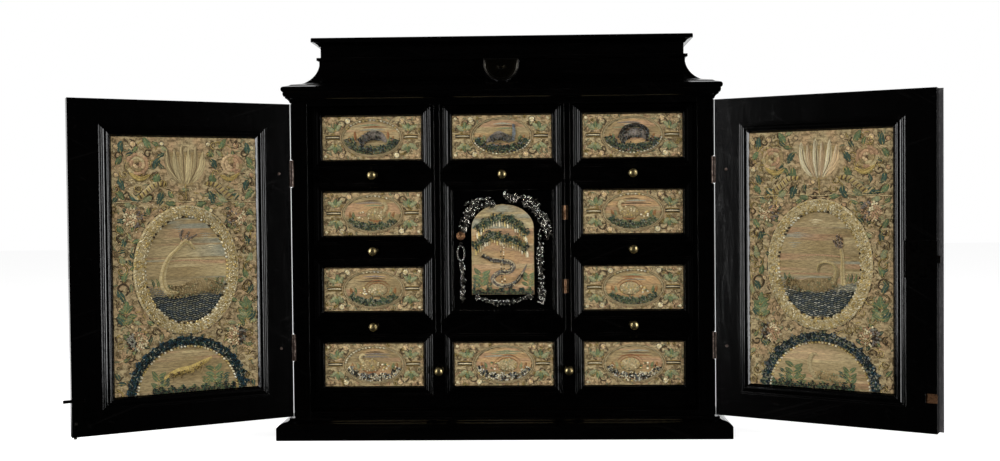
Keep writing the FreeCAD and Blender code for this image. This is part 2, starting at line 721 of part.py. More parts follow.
toe_z = "carcass_top + crown_toe_height"
neck_z = "carcass_top + crown_neck_height"
crown_points = outward([
    ("0", "carcass_top"),
    ("0", cornice_top),
    ("-crown_toe + 2.5", f"{toe_z} - 1"),
    ("-crown_toe", toe_z),
    ("-crown_setback", neck_z, "34"),
    ("-crown_setback", "crown_top - 4.6"),
    ("-crown_setback + crown_bead", "crown_top - 3.6"),
    ("-crown_setback + crown_bead", "crown_top"),
    ("-crown_setback - crown_wall", "crown_top"),
    ("-crown_setback - crown_wall", "carcass_top"),
])
crown = surround("Crown", "back_plane", half_width, "front_plane", crown_points)
crown_back = board(
    ("-crown_inner", "crown_inner"), ("back_plane - crown_wall", "back_plane"),
    ("carcass_top", "crown_top"))


def boss_outline(body, plane_offset, inset):
    """The lock boss: flat at the top and half round below."""
    half = f"boss_width / 2 - {inset}"
    top = "carcass_top + crown_neck_height + 5"
    spring = f"{top} - boss_drop + boss_width / 2"
    return outline(sketch(body, "XZ", plane_offset), [
        (half, f"{top} - {inset}"),
        (f"-({half})", f"{top} - {inset}"),
        (f"-({half})", spring),
        ("0", f"{top} - boss_drop + {inset}", f"1.001 * ({half})"),
        (half, spring, f"1.001 * ({half})"),
    ])


boss = new_body("Boss")
pad(boss, boss_outline(boss, "boss_reach", "0"), "boss_reach + crown_front - 2", reverse=True)
node("crown_frame", fuse(crown, crown_back, boss))

plate = new_body("Escutcheon")
pad(plate, boss_outline(plate, "boss_reach", "0.4"), "escutcheon_thickness")
pocket(plate, boss_outline(plate, "boss_reach + escutcheon_thickness", "escutcheon_rim"),
       "escutcheon_thickness / 2")
plate_key = sketch(plate, "XZ", "boss_reach + escutcheon_thickness")
circle(plate_key, "0", "carcass_top + crown_neck_height - 6", "keyhole_radius")
pocket(plate, plate_key, "escutcheon_thickness")
node("crown_escutcheon", plate)

# Lid: a board inside a moulded rim, hollow underneath.

band = "-crown_setback - 1.6"
lid_rim = surround("LidRim", "back_plane", half_width, "front_plane", outward([
    ("-crown_setback - crown_wall", "lid_low"),
    (band, "lid_low"),
    (band, "lid_low + lid_band"),
    (f"{band} + 1.6", "lid_low + lid_band"),
    (f"{band} + lid_projection - 1.8", "lid_top - 5.6", "9.5"),
    (f"{band} + lid_projection", "lid_top - 5.6"),
    (f"{band} + lid_projection", "lid_top - 1.6"),
    (f"{band} + lid_projection - 1.6", "lid_top", "-1.7"),
    ("-crown_setback - crown_wall", "lid_top"),
]))
lid_board = board(
    ("-crown_inner", "crown_inner"), ("crown_front", "back_plane"), ("lid_top - lid_board", "lid_top"))
lid_back = board(
    ("-crown_inner", "crown_inner"), ("back_plane - crown_wall", "back_plane"),
    ("lid_low", "lid_top - lid_board"))
node("lid", fuse(lid_rim, lid_board, lid_back))


# Hinges. A hinge is drawn about its pin, which stands along Z and ends at plus and minus half the
# height. The knuckles belong to the two halves in turn, the lowest one to the fixed half, which
# also holds the pin.

def knuckle_spans(height, count, moving):
    """Bottom and top of each knuckle of one half."""
    spans = []
    for index in range(1 if moving else 0, count, 2):
        bottom = f"{height} * ({index} / {count} - 0.5)"
        top = f"{height} * ({index + 1} / {count} - 0.5)"
        if index > 0:
            bottom += " + knuckle_gap / 2"
        if index < count - 1:
            top += " - knuckle_gap / 2"
        spans.append((bottom, top))
    return spans


def hinge_half(side, height, radius, pin_radius, leaf, reach, moving, low, count=3):
    """Knuckles, their tongues and the leaf, which leaves the pin along X; low is its lower face."""
    thick = (low, f"{low} + {leaf}")
    parts = []
    for bottom, top in knuckle_spans(height, count, moving):
        parts.append(rod(radius, ("0", "0", bottom), f"({top}) - ({bottom})", sides=BARREL_SIDES))
        parts.append(board(across(side, "0", f"{radius} + hinge_relief + {leaf}"), thick, (bottom, top)))
    parts.append(board(across(side, f"{radius} + hinge_relief", reach), thick,
                       (f"-{height} / 2", f"{height} / 2")))
    if moving:
        bore = rod(f"{pin_radius} + pin_gap", ("0", "0", f"-{height} / 2 - 1"), f"{height} + 2")
        return cut(fuse(*parts), bore)
    pin = rod(pin_radius, ("0", "0", f"-{height} / 2"), height)
    return fuse(*parts, pin)


def door_hinge_half(side, moving):
    return hinge_half(side, "hinge_height", "hinge_radius", "hinge_pin_radius", "hinge_leaf",
                      "hinge_leaf_length", moving, low="-hinge_radius")


fixed_leaves = []
for side in (1, -1):
    for level in hinge_levels():
        fixed_leaves.append(placed(
            door_hinge_half(side, False), f"{-side} * hinge_x", "hinge_y", level, turn=90 * side))
node("door_hinge_fixed_leaves", group(*fixed_leaves))


# Pair of doors. Each is drawn shut about its hinge pin, with u running from the pin to the meeting
# edge, and then turned about the pin.

def hang(side, *shapes):
    """Put a door's parts on its pin, swung open."""
    return placed(group(*shapes), f"{-side} * hinge_x", "hinge_y", 0, f"{-side} * door_open_angle")


def door_nail(side, level):
    """A forged nail through the wood and the leaf, its head on the inner face."""
    u = f"{side} * nail_from_pin"
    return fuse(
        rod("nail_head", (u, "door_inner", level), "nail_rise", along="y", sides=8),
        rod("nail_shank", (u, "door_inner - nail_depth", level), "nail_depth", along="y", sides=4))


def keyhole(u, z, start, depth):
    """A keyhole through a plate or a board, cut along Y."""
    return fuse(
        rod("keyhole_radius", (u, start, z), depth, along="y", sides=12),
        board((f"{u} - keyhole_radius / 2", f"{u} + keyhole_radius / 2"), (start, f"{start} + {depth}"),
              (f"{z} - keyhole_drop", z)))


def door_board(side):
    """The door's board with a moulded frame on both faces."""
    body = new_body("DoorBoard")
    face = outline(sketch(body, "XZ", "-door_inner"), rectangle(
        across(side, "hinge_edge_gap", "door_edge"), ("door_low", "door_high")))
    pad(body, face, "door_thickness")
    bounds = (
        across(side, "door_panel_in - door_moulding_width", "door_panel_out + door_moulding_width"),
        ("door_panel_foot - door_moulding_width", "door_panel_head + door_moulding_width"))
    frame_moulding(body, *bounds, "door_moulding_width", "door_inner", 1)
    frame_moulding(body, *bounds, "door_moulding_width", "door_outer", -1)
    return body


def door_cuts(side):
    """Room for the hinge barrels, leaves and nails."""
    cuts = []
    for level in hinge_levels():
        cuts.append(barrel_hollow(level))
        cuts.append(leaf_kerf(side, level))
        cuts.append(rod("nail_shank + pin_gap", (
            f"{side} * nail_from_pin", "door_inner - nail_depth - pin_gap", level),
            "nail_depth + 1", along="y", sides=4))
    return cuts


def door_embroidery(side):
    x = across(side, "door_panel_in + panel_gap", "door_panel_out - panel_gap")
    return board(x, ("door_inner", "door_inner + panel_thickness"),
                 ("door_panel_foot + panel_gap", "door_panel_head - panel_gap"))


def door_leaves(side):
    halves = []
    for level in hinge_levels():
        half = placed(door_hinge_half(side, True), 0, 0, level)
        halves.append(fuse(half, door_nail(side, level)))
    return group(*halves)


edge = "door_edge"
bolt_u = f"{edge} - bolt_from_edge"
bolt_y = "door_inner - bolt_depth"
stud_z = "bolt_low + stud_height"
bolt_tools = [
    board((f"{bolt_u} - bolt_half - bolt_gap", f"{bolt_u} + bolt_half + bolt_gap"),
          (f"{bolt_y} - bolt_half - bolt_gap", f"{bolt_y} + bolt_half + bolt_gap"),
          ("door_low - 1", "bolt_low + bolt_length + bolt_travel_up + bolt_gap")),
    board((f"{bolt_u} - stud_half - bolt_gap", f"{bolt_u} + stud_half + bolt_gap"),
          (bolt_y, "1"),
          (f"{stud_z} - stud_half - bolt_travel_down - bolt_gap",
           f"{stud_z} + stud_half + bolt_travel_up + bolt_gap")),
]
tongue_y = "door_inner - tongue_inset"
tongue_slot = board(
    (f"{edge} - tongue_root", f"{edge} + 1"), (f"{tongue_y} - tongue_thickness", "1"),
    ("tongue_height - tongue_width / 2", "tongue_height + tongue_width / 2"))
lock_y = "(door_inner - door_thickness / 2)"
lock_mortise = board(
    (f"{edge} - lock_mortise_depth", f"{edge} + 1"),
    (f"{lock_y} - lock_bolt_thickness / 2 - lock_gap", f"{lock_y} + lock_bolt_thickness / 2 + lock_gap"),
    ("lock_height - lock_mortise_height / 2", "lock_height + lock_mortise_height / 2"))
left_board = cut(door_board(1), *door_cuts(1), *bolt_tools, tongue_slot, lock_mortise)
node("left_door", hang(1, left_board))
node("left_door_embroidery", hang(1, door_embroidery(1)))
node("left_door_hinge_leaves", hang(1, door_leaves(1)))
tongue = board(
    (f"{edge} - tongue_root", f"{edge} + tongue_reach"),
    (f"{tongue_y} - tongue_thickness", tongue_y),
    ("tongue_height - tongue_width / 2", "tongue_height + tongue_width / 2"))
node("left_door_tongue", hang(1, tongue))
bottom_bolt = fuse(
    board((f"{bolt_u} - bolt_half", f"{bolt_u} + bolt_half"),
          (f"{bolt_y} - bolt_half", f"{bolt_y} + bolt_half"),
          ("bolt_low", "bolt_low + bolt_length")),
    board((f"{bolt_u} - stud_half", f"{bolt_u} + stud_half"),
          (bolt_y, "door_inner + stud_rise"),
          (f"{stud_z} - stud_half", f"{stud_z} + stud_half")))
node("left_door_bolt", hang(1, bottom_bolt))

astragal = new_body("Astragal")
overlap = "astragal_width / 2"
strip = outline(sketch(astragal, "XY", "door_low"), [
    (f"-({edge} - {overlap})", "door_outer"),
    (f"-({edge})", "door_outer"),
    (f"-({edge})", "door_outer - 0.4"),
    (f"-({edge} + {overlap})", "door_outer - 0.4"),
    (f"-({edge} + {overlap})", "door_outer - 1.2"),
    (f"-({edge} - {overlap})", "door_outer - 1.2", "1.1 * astragal_width / 2"),
])
pad(astragal, strip, "door_high - door_low")

case_back = "door_inner - lock_plate_depth"
case_x = across(-1, f"{edge} - lock_plate_width", edge)
case_z = ("lock_height - lock_plate_height / 2", "lock_height + lock_plate_height / 2")
lock_recess = board(case_x, (case_back, "1"), case_z)
strike_x = across(-1, f"{edge} - strike_width", edge)
strike_z = ("tongue_height - 2 - strike_height / 2", "tongue_height - 2 + strike_height / 2")
strike_recess = board(strike_x, ("door_inner - strike_depth", "1"), strike_z)
key_u = f"-({edge} - lock_plate_width / 2)"
key_z = "lock_height - key_drop"
key_bore = keyhole(key_u, key_z, "door_outer - 1", "door_thickness")
right_board = cut(
    fuse(door_board(-1), astragal), *door_cuts(-1), lock_recess, strike_recess, key_bore)
node("right_door", hang(-1, right_board))
node("right_door_embroidery", hang(-1, door_embroidery(-1)))
node("right_door_hinge_leaves", hang(-1, door_leaves(-1)))

# Lock of the right door: a case let into the inner face, an outer escutcheon, the wear plate under
# the tongue, and the bolt that slides through the case.

bolt_slot = board(
    across(-1, f"{edge} - lock_bolt_length - lock_travel_in", f"{edge} + 1"),
    (f"{lock_y} - lock_bolt_thickness / 2 - lock_gap", f"{lock_y} + lock_bolt_thickness / 2 + lock_gap"),
    ("lock_height - lock_bolt_width / 2 - lock_gap", "lock_height + lock_bolt_width / 2 + lock_gap"))
lock_case = cut(board(case_x, (case_back, "door_inner"), case_z), bolt_slot)
outer_plate = cut(
    rod("key_plate_radius", (key_u, "door_outer - key_plate_thickness", f"{key_z} - keyhole_drop / 2"),
        "key_plate_thickness", along="y"),
    keyhole(key_u, key_z, "door_outer - 2 * key_plate_thickness", "3 * key_plate_thickness"))
wear_plate = board(
    strike_x, ("door_inner - strike_depth", "door_inner - strike_depth + strike_plate"), strike_z)
node("right_door_lock", hang(-1, lock_case, outer_plate, wear_plate))
lock_bolt = board(
    across(-1, f"{edge} + lock_bolt_reach - lock_bolt_length", f"{edge} + lock_bolt_reach"),
    (f"{lock_y} - lock_bolt_thickness / 2", f"{lock_y} + lock_bolt_thickness / 2"),
    ("lock_height - lock_bolt_width / 2", "lock_height + lock_bolt_width / 2"))
node("right_door_lock_bolt", hang(-1, lock_bolt))

# Cupboard in the middle: a moulded door with an embroidered arch and cast mounts round it.

def bow(half, rise):
    """Radius of an arc from half its chord and its rise."""
    return f"(({half}) * ({half}) + {rise} * {rise}) / (2 * {rise})"


lock_x = "-0.72 * arch_width"
lock_z = "(arch_low + 0.66 * arch_side)"
cupboard_front = moulded_front(
    "CupboardDoor", "front_width", "cupboard_height", ["0"], "cupboard_frame_height",
    "cupboard_middle", [(lock_x, lock_z, "keyhole_radius / 2", "keyhole_drop / 2")])
arch = new_body("Arch")
arch_half = "arch_width / 2"
arch_spring = "(arch_low + arch_side)"
arch_curve = bow(arch_half, "arch_rise")
arch_face = outline(sketch(arch, "XZ"), [
    (f"-{arch_half}", "arch_low"), (arch_half, "arch_low"), (arch_half, arch_spring),
    ("0", f"{arch_spring} + arch_rise", arch_curve),
    (f"-{arch_half}", arch_spring, arch_curve)])
pad(arch, arch_face, "panel_thickness")
cupboard_place = ("0", "face_plane", "rows_bottom + row_pitch")
node("cupboard_door", placed(cupboard_front, *cupboard_place))
node("cupboard_embroidery", placed(arch, *cupboard_place))

# Cast mounts: a spray on each shoulder of the arch, a hanging garland down each side, a swag below,
# a rosette and the keyhole plate.

def spray(side, low_turn, high_turn):
    """A leafy spray along the shoulder of the arch, between two turns up from level."""
    body = new_body("Spray")
    centre = f"{arch_spring} + arch_rise - {arch_curve}"
    near = f"({arch_curve} + spray_gap)"
    far = f"({arch_curve} + spray_gap + spray_width)"

    def spot(radius, turn):
        across_x, up = side * math.cos(math.radians(turn)), math.sin(math.radians(turn))
        return f"{across_x:.5f} * {radius}", f"{centre} + {up:.5f} * {radius}"

    face = outline(sketch(body, "XZ"), [
        (*spot(near, low_turn), f"-({side}) * {near}"),
        spot(far, low_turn),
        (*spot(far, high_turn), f"{side} * {far}"),
        spot(near, high_turn),
    ])
    pad(body, face, "mount_thickness")
    return body


def garland(side, top, bottom):
    """A bunch that hangs beside the arch, tapering down to its tip."""
    body = new_body("Garland")
    x = f"{side} * (arch_width / 2 + garland_from_arch)"
    face = outline(sketch(body, "XZ"), [
        (f"{x} - garland_half / 3", bottom),
        (f"{x} + garland_half / 3", bottom, "garland_half / 2"),
        (f"{x} + garland_half", f"{top} - garland_half"),
        (f"{x} - garland_half", f"{top} - garland_half", "1.01 * garland_half"),
    ])
    pad(body, face, "mount_thickness")
    return body


# Turns up from level, in degrees, where each spray begins and ends.
LEFT_SPRAY = (14, 74)
RIGHT_SPRAY = (-6, 80)

swag = new_body("Swag")
pad(swag, outline(sketch(swag, "XZ"), [
    ("-swag_half", "arch_low - swag_below", f"-({bow('swag_half', 'swag_sag')})"),
    ("swag_half", "arch_low - swag_below", bow("swag_half", "swag_drop")),
]), "mount_thickness")
rosette = rod("rosette_radius", (lock_x, "-mount_thickness", f"{arch_spring} - rosette_below"),
              "mount_thickness", along="y")
mounts = group(
    spray(-1, *LEFT_SPRAY), spray(1, *RIGHT_SPRAY),
    garland(1, f"({arch_spring} - garland_below)", f"({arch_spring} - garland_below - garland_length)"),
    garland(-1, f"(arch_low + garland_length)", "arch_low"),
    swag, rosette)
node("cupboard_mounts", placed(mounts, *cupboard_place))

small_levels = ["small_hinge_low", "small_hinge_high"]


def small_hinge_half(side, moving):
    return hinge_half(side, "small_hinge_height", "small_hinge_radius", "small_pin_radius", "small_leaf",
                      "small_hinge_reach", moving, low="small_hinge_radius + barrel_clear - small_leaf")


small_fixed = []
small_moving = []
for level in small_levels:
    place = ("cupboard_pin_x", "cupboard_pin_y", f"rows_bottom + row_pitch + {level}")
    small_fixed.append(placed(small_hinge_half(1, False), *place))
    small_moving.append(placed(small_hinge_half(-1, True), *place))
node("cupboard_hinge_leaves", group(*small_moving))

# Lid hinges on the back: the pins lie along X.

def lid_hinge_half(side, moving):
    return hinge_half(side, "lid_hinge_width", "lid_hinge_radius", "lid_pin_radius", "small_leaf",
                      "lid_hinge_reach", moving, low="-lid_hinge_radius - barrel_clear", count=2)


lid_fixed = []
lid_moving = []
for side in (-1, 1):
    place = (f"{side} * lid_hinge_place", "lid_pin_y", "lid_pin_z")
    lid_fixed.append(placed(lid_hinge_half(1, False), *place, turn=90, axis=(0, 1, 0)))
    lid_moving.append(placed(lid_hinge_half(-1, True), *place, turn=90, axis=(0, 1, 0)))
node("lid_hinge_leaves", group(*lid_moving))
node("small_hinge_fixed_leaves", group(*small_fixed, *lid_fixed))

# Drawers, counted along the rows from the bottom left.

drawer("bottom_drawer", 0, 0, long=True)
for row, columns in ((1, (-1, 1)), (2, (-1, 1)), (3, (-1, 0, 1))):
    for column in columns:
        place = {-1: "left", 0: "middle", 1: "right"}[column]
        level = {1: "lower", 2: "middle", 3: "upper"}[row]
        drawer(f"{level}_{place}_drawer", column, row)

doc.recompute()

# Every object must have built, and every sub-part must be a sound shape, before a file is written.

failed = [thing.Name for thing in doc.Objects if {"Invalid", "Error"} & set(thing.State)]
unsound = [part.Label for part in nodes if part.Shape.isNull() or not part.Shape.isValid()]
if failed or unsound:
    raise RuntimeError(f"failed objects: {failed}; unsound shapes: {unsound}")
os.makedirs("parts", exist_ok=True)
for part in nodes:
    part.Shape.exportStep(f"parts/{part.Label}.step")
print(len(nodes), "parts written")
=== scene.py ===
# Table cabinet of oak veneered in ebony, its doors and drawers set with raised silk needlework.
# The scene is in metres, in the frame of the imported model. The needlework is drawn in millimetres.
import math
import random

import bpy
from mathutils import Matrix, Vector


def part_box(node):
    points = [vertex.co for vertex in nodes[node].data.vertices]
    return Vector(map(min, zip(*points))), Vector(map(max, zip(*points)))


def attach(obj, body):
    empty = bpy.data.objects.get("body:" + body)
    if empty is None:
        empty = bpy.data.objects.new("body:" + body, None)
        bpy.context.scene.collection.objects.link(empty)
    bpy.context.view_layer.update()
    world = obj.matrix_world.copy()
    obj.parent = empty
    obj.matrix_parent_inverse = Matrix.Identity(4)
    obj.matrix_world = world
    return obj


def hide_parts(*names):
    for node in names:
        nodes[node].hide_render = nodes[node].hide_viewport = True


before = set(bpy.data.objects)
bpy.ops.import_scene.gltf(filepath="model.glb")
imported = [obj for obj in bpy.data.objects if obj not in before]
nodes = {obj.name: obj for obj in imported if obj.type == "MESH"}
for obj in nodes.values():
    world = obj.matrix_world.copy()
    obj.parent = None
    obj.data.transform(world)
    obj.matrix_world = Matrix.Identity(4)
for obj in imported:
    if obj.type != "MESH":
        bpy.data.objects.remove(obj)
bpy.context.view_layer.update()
scene = bpy.context.scene
scene.view_settings.view_transform = "Standard"

# --- Camera ------------------------------------------------------------------------------------
# A view camera a little to the right of the cabinet's middle, at the height of the cupboard.
# It stands 1.6 m off and looks almost square at the drawers.
lens = bpy.data.cameras.new("view_camera")
lens.sensor_width, lens.lens = 36, 40.576
lens.shift_x, lens.shift_y = -0.0106, -0.0062
camera = bpy.data.objects.new("view_camera", lens)
camera_spot = (0.0480, -1.5994, 0.3030)
pan, tilt, roll = 0.0257, -0.0202, 0.0094
camera_turn = (Matrix.Rotation(pan, 4, "Z") @ Matrix.Rotation(tilt, 4, "X")
               @ Matrix.Rotation(roll, 4, "Y") @ Matrix.Rotation(math.pi / 2, 4, "X"))
camera.matrix_world = Matrix.Translation(camera_spot) @ camera_turn
scene.collection.objects.link(camera)
scene.camera = camera


# --- Studio floor, room and lamps --------------------------------------------------------------
# A white paper floor in a white room. In front of the cabinet the floor and the room turn black
# for mirrored rays only, a painted dark reflection that keeps the polished ebony deep. Two tall
# soft boxes stand at the left and the right of the front.
def set_node(tree, kind, sockets=None, **settings):
    """Adds a shader node; a socket value may be another node's output."""
    node = tree.nodes.new(kind)
    for name, value in settings.items():
        setattr(node, name, value)
    for name, value in (sockets or {}).items():
        if isinstance(value, bpy.types.NodeSocket):
            tree.links.new(value, node.inputs[name])
        else:
            node.inputs[name].default_value = value
    return node


def sum_of(tree, how, first, second=0.5, third=0.5):
    sockets = {0: first, 1: second, 2: third}
    return set_node(tree, "ShaderNodeMath", sockets, operation=how).outputs[0]


def range_of(tree, value, low, high, to_low=0.0, to_high=1.0):
    steps = {"Value": value, "From Min": low, "From Max": high, "To Min": to_low,
             "To Max": to_high}
    return set_node(tree, "ShaderNodeMapRange", steps, interpolation_type="SMOOTHSTEP").outputs[0]


def mix_of(tree, factor, first, second):
    """A colour between two. The Mix node numbers its colour sockets 6 and 7, and the result 2."""
    sockets = {"Factor": factor, 6: first, 7: second}
    return set_node(tree, "ShaderNodeMix", sockets, data_type="RGBA").outputs[2]


def place_on(tree):
    return set_node(tree, "ShaderNodeTexCoord").outputs["Object"]


def rays_of(tree):
    """Masks for the camera's own rays, and for those that polish or glass has turned."""
    path = set_node(tree, "ShaderNodeLightPath").outputs
    turned = sum_of(tree, "MAXIMUM", path["Is Glossy Ray"], path["Is Transmission Ray"])
    return path["Is Camera Ray"], turned


def new_finish(name):
    finish = bpy.data.materials.new(name)
    finish.use_nodes = True
    finish.node_tree.nodes.clear()
    return finish, finish.node_tree


def set_out(name, points, faces, *finishes, smooth=False):
    """A mesh piece put into the scene, its finishes in the order of their numbers."""
    mesh = bpy.data.meshes.new(name)
    mesh.from_pydata(points, [], faces)
    if smooth:
        mesh.shade_smooth()
    for finish in finishes:
        mesh.materials.append(finish)
    piece = bpy.data.objects.new(name, mesh)
    scene.collection.objects.link(piece)
    return piece


paper, tree = new_finish("white_paper_floor")
straight, mirrored = rays_of(tree)
along = set_node(tree, "ShaderNodeSeparateXYZ", {0: place_on(tree)})
# In front of the cabinet the floor is painted black for mirrored rays only: a painted dark
# reflection.
past_dark_reflection = range_of(tree, along.outputs["Y"], -0.2, 0.2)
seen = sum_of(tree, "MULTIPLY_ADD", mirrored, past_dark_reflection, straight)
fibre = set_node(tree, "ShaderNodeTexNoise", {"Scale": 60.0, "Detail": 3.0})
paper_tone = mix_of(tree, fibre.outputs["Fac"], (0.58, 0.58, 0.58, 1), (0.64, 0.64, 0.64, 1))
painted_dark_reflection = sum_of(tree, "MULTIPLY", mirrored, sum_of(tree, "SUBTRACT", 1.0, past_dark_reflection))
shown = mix_of(tree, painted_dark_reflection, paper_tone, (0.01, 0.01, 0.01, 1))
matt = set_node(tree, "ShaderNodeBsdfDiffuse", {"Color": shown})
white_share = sum_of(tree, "MULTIPLY", seen, 0.82)
glow = set_node(tree, "ShaderNodeEmission", {"Color": (1, 1, 1, 1), "Strength": white_share})
both = set_node(tree, "ShaderNodeAddShader", {0: matt.outputs[0], 1: glow.outputs[0]})
set_node(tree, "ShaderNodeOutputMaterial", {"Surface": both.outputs[0]})

floor_front, floor_back, floor_half, floor_level = -0.36, 6, 4, -0.0004
floor = set_out("studio_floor", [
    (-floor_half, floor_front, floor_level), (floor_half, floor_front, floor_level),
    (floor_half, floor_back, floor_level), (-floor_half, floor_back, floor_level)],
    [(0, 1, 2, 3)], paper)

room = bpy.data.worlds.new("white_room")
scene.world = room
room.use_nodes = True
tree = room.node_tree
tree.nodes.clear()
straight, mirrored = rays_of(tree)
room_place = set_node(tree, "ShaderNodeTexCoord").outputs["Generated"]
toward = set_node(tree, "ShaderNodeSeparateXYZ", {0: room_place})
# Mirrored rays see the room white behind the cabinet and black in front of it: a painted dark
# reflection.
behind = range_of(tree, toward.outputs["Y"], 0.5, 0.95, 0.004, 1.0)
room_light = 0.22
above_room = sum_of(tree, "SUBTRACT", behind, room_light)
level = sum_of(tree, "MULTIPLY_ADD", mirrored, above_room, room_light)
level = sum_of(tree, "MAXIMUM", level, straight)
backdrop = set_node(tree, "ShaderNodeBackground", {"Color": (1, 1, 1, 1), "Strength": level})
set_node(tree, "ShaderNodeOutputWorld", {"Surface": backdrop.outputs[0]})


def soft_box(name, spot, aim, width, height, power, mirrored=True):
    lamp = bpy.data.lights.new(name, "AREA")
    lamp.shape = "RECTANGLE"
    lamp.size, lamp.size_y, lamp.energy = width, height, power
    stand = bpy.data.objects.new(name, lamp)
    stand.location = spot
    stand.rotation_euler = (Vector(aim) - Vector(spot)).to_track_quat("-Z", "Y").to_euler()
    stand.visible_glossy = mirrored
    scene.collection.objects.link(stand)


soft_box("left_soft_box", (-1.9, -1.3, 0.72), (0.05, -0.15, 0.25), 0.7, 1.9, 47)
soft_box("right_soft_box", (1.85, -1.25, 0.66), (-0.05, -0.15, 0.25), 0.7, 2.0, 45)
soft_box("front_fill", (-1.0, -2.5, 1.9), (0.0, -0.15, 0.25), 1.2, 0.8, 34, mirrored=False)


# --- Oak back board and cedar drawer boxes -----------------------------------------------------
# The back board is quarter-sawn oak. The drawer boxes are planed cedar, dovetailed, oiled and
# darkened by handling. The grain runs along each board.
def tint(red, green, blue):
    """A colour as it looks on a screen, from 0 to 255, as the shader takes it."""
    return tuple((part / 255) ** 2.2 for part in (red, green, blue)) + (1.0,)


def new_group(name, takes, gives):
    group = bpy.data.node_groups.new(name, "ShaderNodeTree")
    for label, kind, value in takes:
        socket = group.interface.new_socket(label, in_out="INPUT", socket_type="NodeSocket" + kind)
        if value is not None:
            socket.default_value = value
    for label, kind in gives:
        group.interface.new_socket(label, in_out="OUTPUT", socket_type="NodeSocket" + kind)
    given = group.nodes.new("NodeGroupInput").outputs
    return group, given, group.nodes.new("NodeGroupOutput").inputs


def noise_of(tree, place, scale, detail, **more):
    sockets = {"Vector": place, "Scale": scale, "Detail": detail, **more}
    return set_node(tree, "ShaderNodeTexNoise", sockets).outputs["Fac"]


def stretch_of(tree, place, stretch):
    sockets = {0: place, 1: stretch}
    return set_node(tree, "ShaderNodeVectorMath", sockets, operation="MULTIPLY").outputs[0]


wood_grain, given, result = new_group(
    "wood_grain",
    [("Place", "Vector", None), ("Stretch", "Vector", (1, 1, 1)), ("Dark", "Color", None),
     ("Light", "Color", None), ("Roughness", "Float", 0.5)],
    [("Color", "Color"), ("Roughness", "Float"), ("Height", "Float")])
tree = wood_grain
stretched = stretch_of(tree, given["Place"], given["Stretch"])
growth = noise_of(tree, stretched, 9.0, 6.0, Roughness=0.65, Distortion=1.4)
pores = range_of(tree, noise_of(tree, stretched, 130.0, 3.0), 0.42, 0.62)
figure = sum_of(tree, "MULTIPLY", range_of(tree, growth, 0.3, 0.7), pores)
tree.links.new(mix_of(tree, figure, given["Dark"], given["Light"]), result["Color"])
tree.links.new(sum_of(tree, "MULTIPLY_ADD", pores, -0.04, given["Roughness"]), result["Roughness"])
tree.links.new(figure, result["Height"])


def close_finish(tree, color, roughness, height, bump, normal=None, **plain):
    """Ends a material in one Principled shader; the plain values are set on its own sockets."""
    relief = {"Height": height, "Distance": bump, "Strength": 1.0}
    if normal is not None:
        relief["Normal"] = normal
    skin = {label.replace("_", " "): value for label, value in plain.items()}
    skin |= {"Base Color": color, "Roughness": roughness,
             "Normal": set_node(tree, "ShaderNodeBump", relief).outputs[0]}
    shader = set_node(tree, "ShaderNodeBsdfPrincipled", skin)
    set_node(tree, "ShaderNodeOutputMaterial", {"Surface": shader.outputs[0]})


def board_finish(name, stretch, dark, light):
    finish, tree = new_finish(name)
    grain = set_node(tree, "ShaderNodeGroup", {
        "Place": place_on(tree), "Stretch": stretch, "Dark": dark, "Light": light,
        "Roughness": 0.62}, node_tree=wood_grain).outputs
    close_finish(tree, grain["Color"], grain["Roughness"], grain["Height"], 0.00015)
    return finish


def dress(finish, *names):
    for name in names:
        nodes[name].data.materials.clear()
        nodes[name].data.materials.append(finish)


drawers = [name[:-len("_box")] for name in sorted(nodes) if name.endswith("_drawer_box")]
upright_oak = board_finish("upright_oak", (12, 12, 1.2), tint(66, 45, 28), tint(122, 88, 56))
drawer_cedar = board_finish("drawer_cedar", (12, 1.2, 12), tint(82, 56, 34), tint(146, 108, 70))
dress(upright_oak, "back_board")
dress(drawer_cedar, *[drawer + "_box" for drawer in drawers])

# --- Ebony veneer and mouldings ----------------------------------------------------------------
# Carcass, doors, crown, lid and drawer fronts are veneered in ebony. Reeded ebony mouldings,
# mitred at the corners, are glued round every panel. The wax polish is scratched, and rubbed on
# the edges, most of all along the lip of the right door.
handling, given, result = new_group(
    "handling",
    [("Place", "Vector", None), ("Edge", "Float", 0.0004)],
    [("Rubbed", "Float"), ("Scratches", "Float"), ("Normal", "Vector")])
tree = handling
eased = set_node(tree, "ShaderNodeBevel", {"Radius": given["Edge"]}, samples=4).outputs[0]
flat = set_node(tree, "ShaderNodeNewGeometry").outputs["Normal"]
facing = set_node(tree, "ShaderNodeVectorMath", {0: eased, 1: flat}, operation="DOT_PRODUCT")
edges = range_of(tree, facing.outputs["Value"], 0.99, 0.86)
patches = range_of(tree, noise_of(tree, given["Place"], 26.0, 4.0), 0.4, 0.7)
tree.links.new(sum_of(tree, "MULTIPLY", edges, patches), result["Rubbed"])
scratch = 0.0
for turn, stretch in ((0.35, (4, 4, 260)), (1.2, (220, 220, 5)), (-0.6, (9, 9, 330))):
    laid = set_node(tree, "ShaderNodeVectorRotate", {"Vector": given["Place"], "Angle": turn},
                    rotation_type="Y_AXIS")
    mark = noise_of(tree, stretch_of(tree, laid.outputs[0], stretch), 1.0, 2.0)
    scratch = sum_of(tree, "MAXIMUM", scratch, range_of(tree, mark, 0.66, 0.74))
tree.links.new(scratch, result["Scratches"])
tree.links.new(eased, result["Normal"])


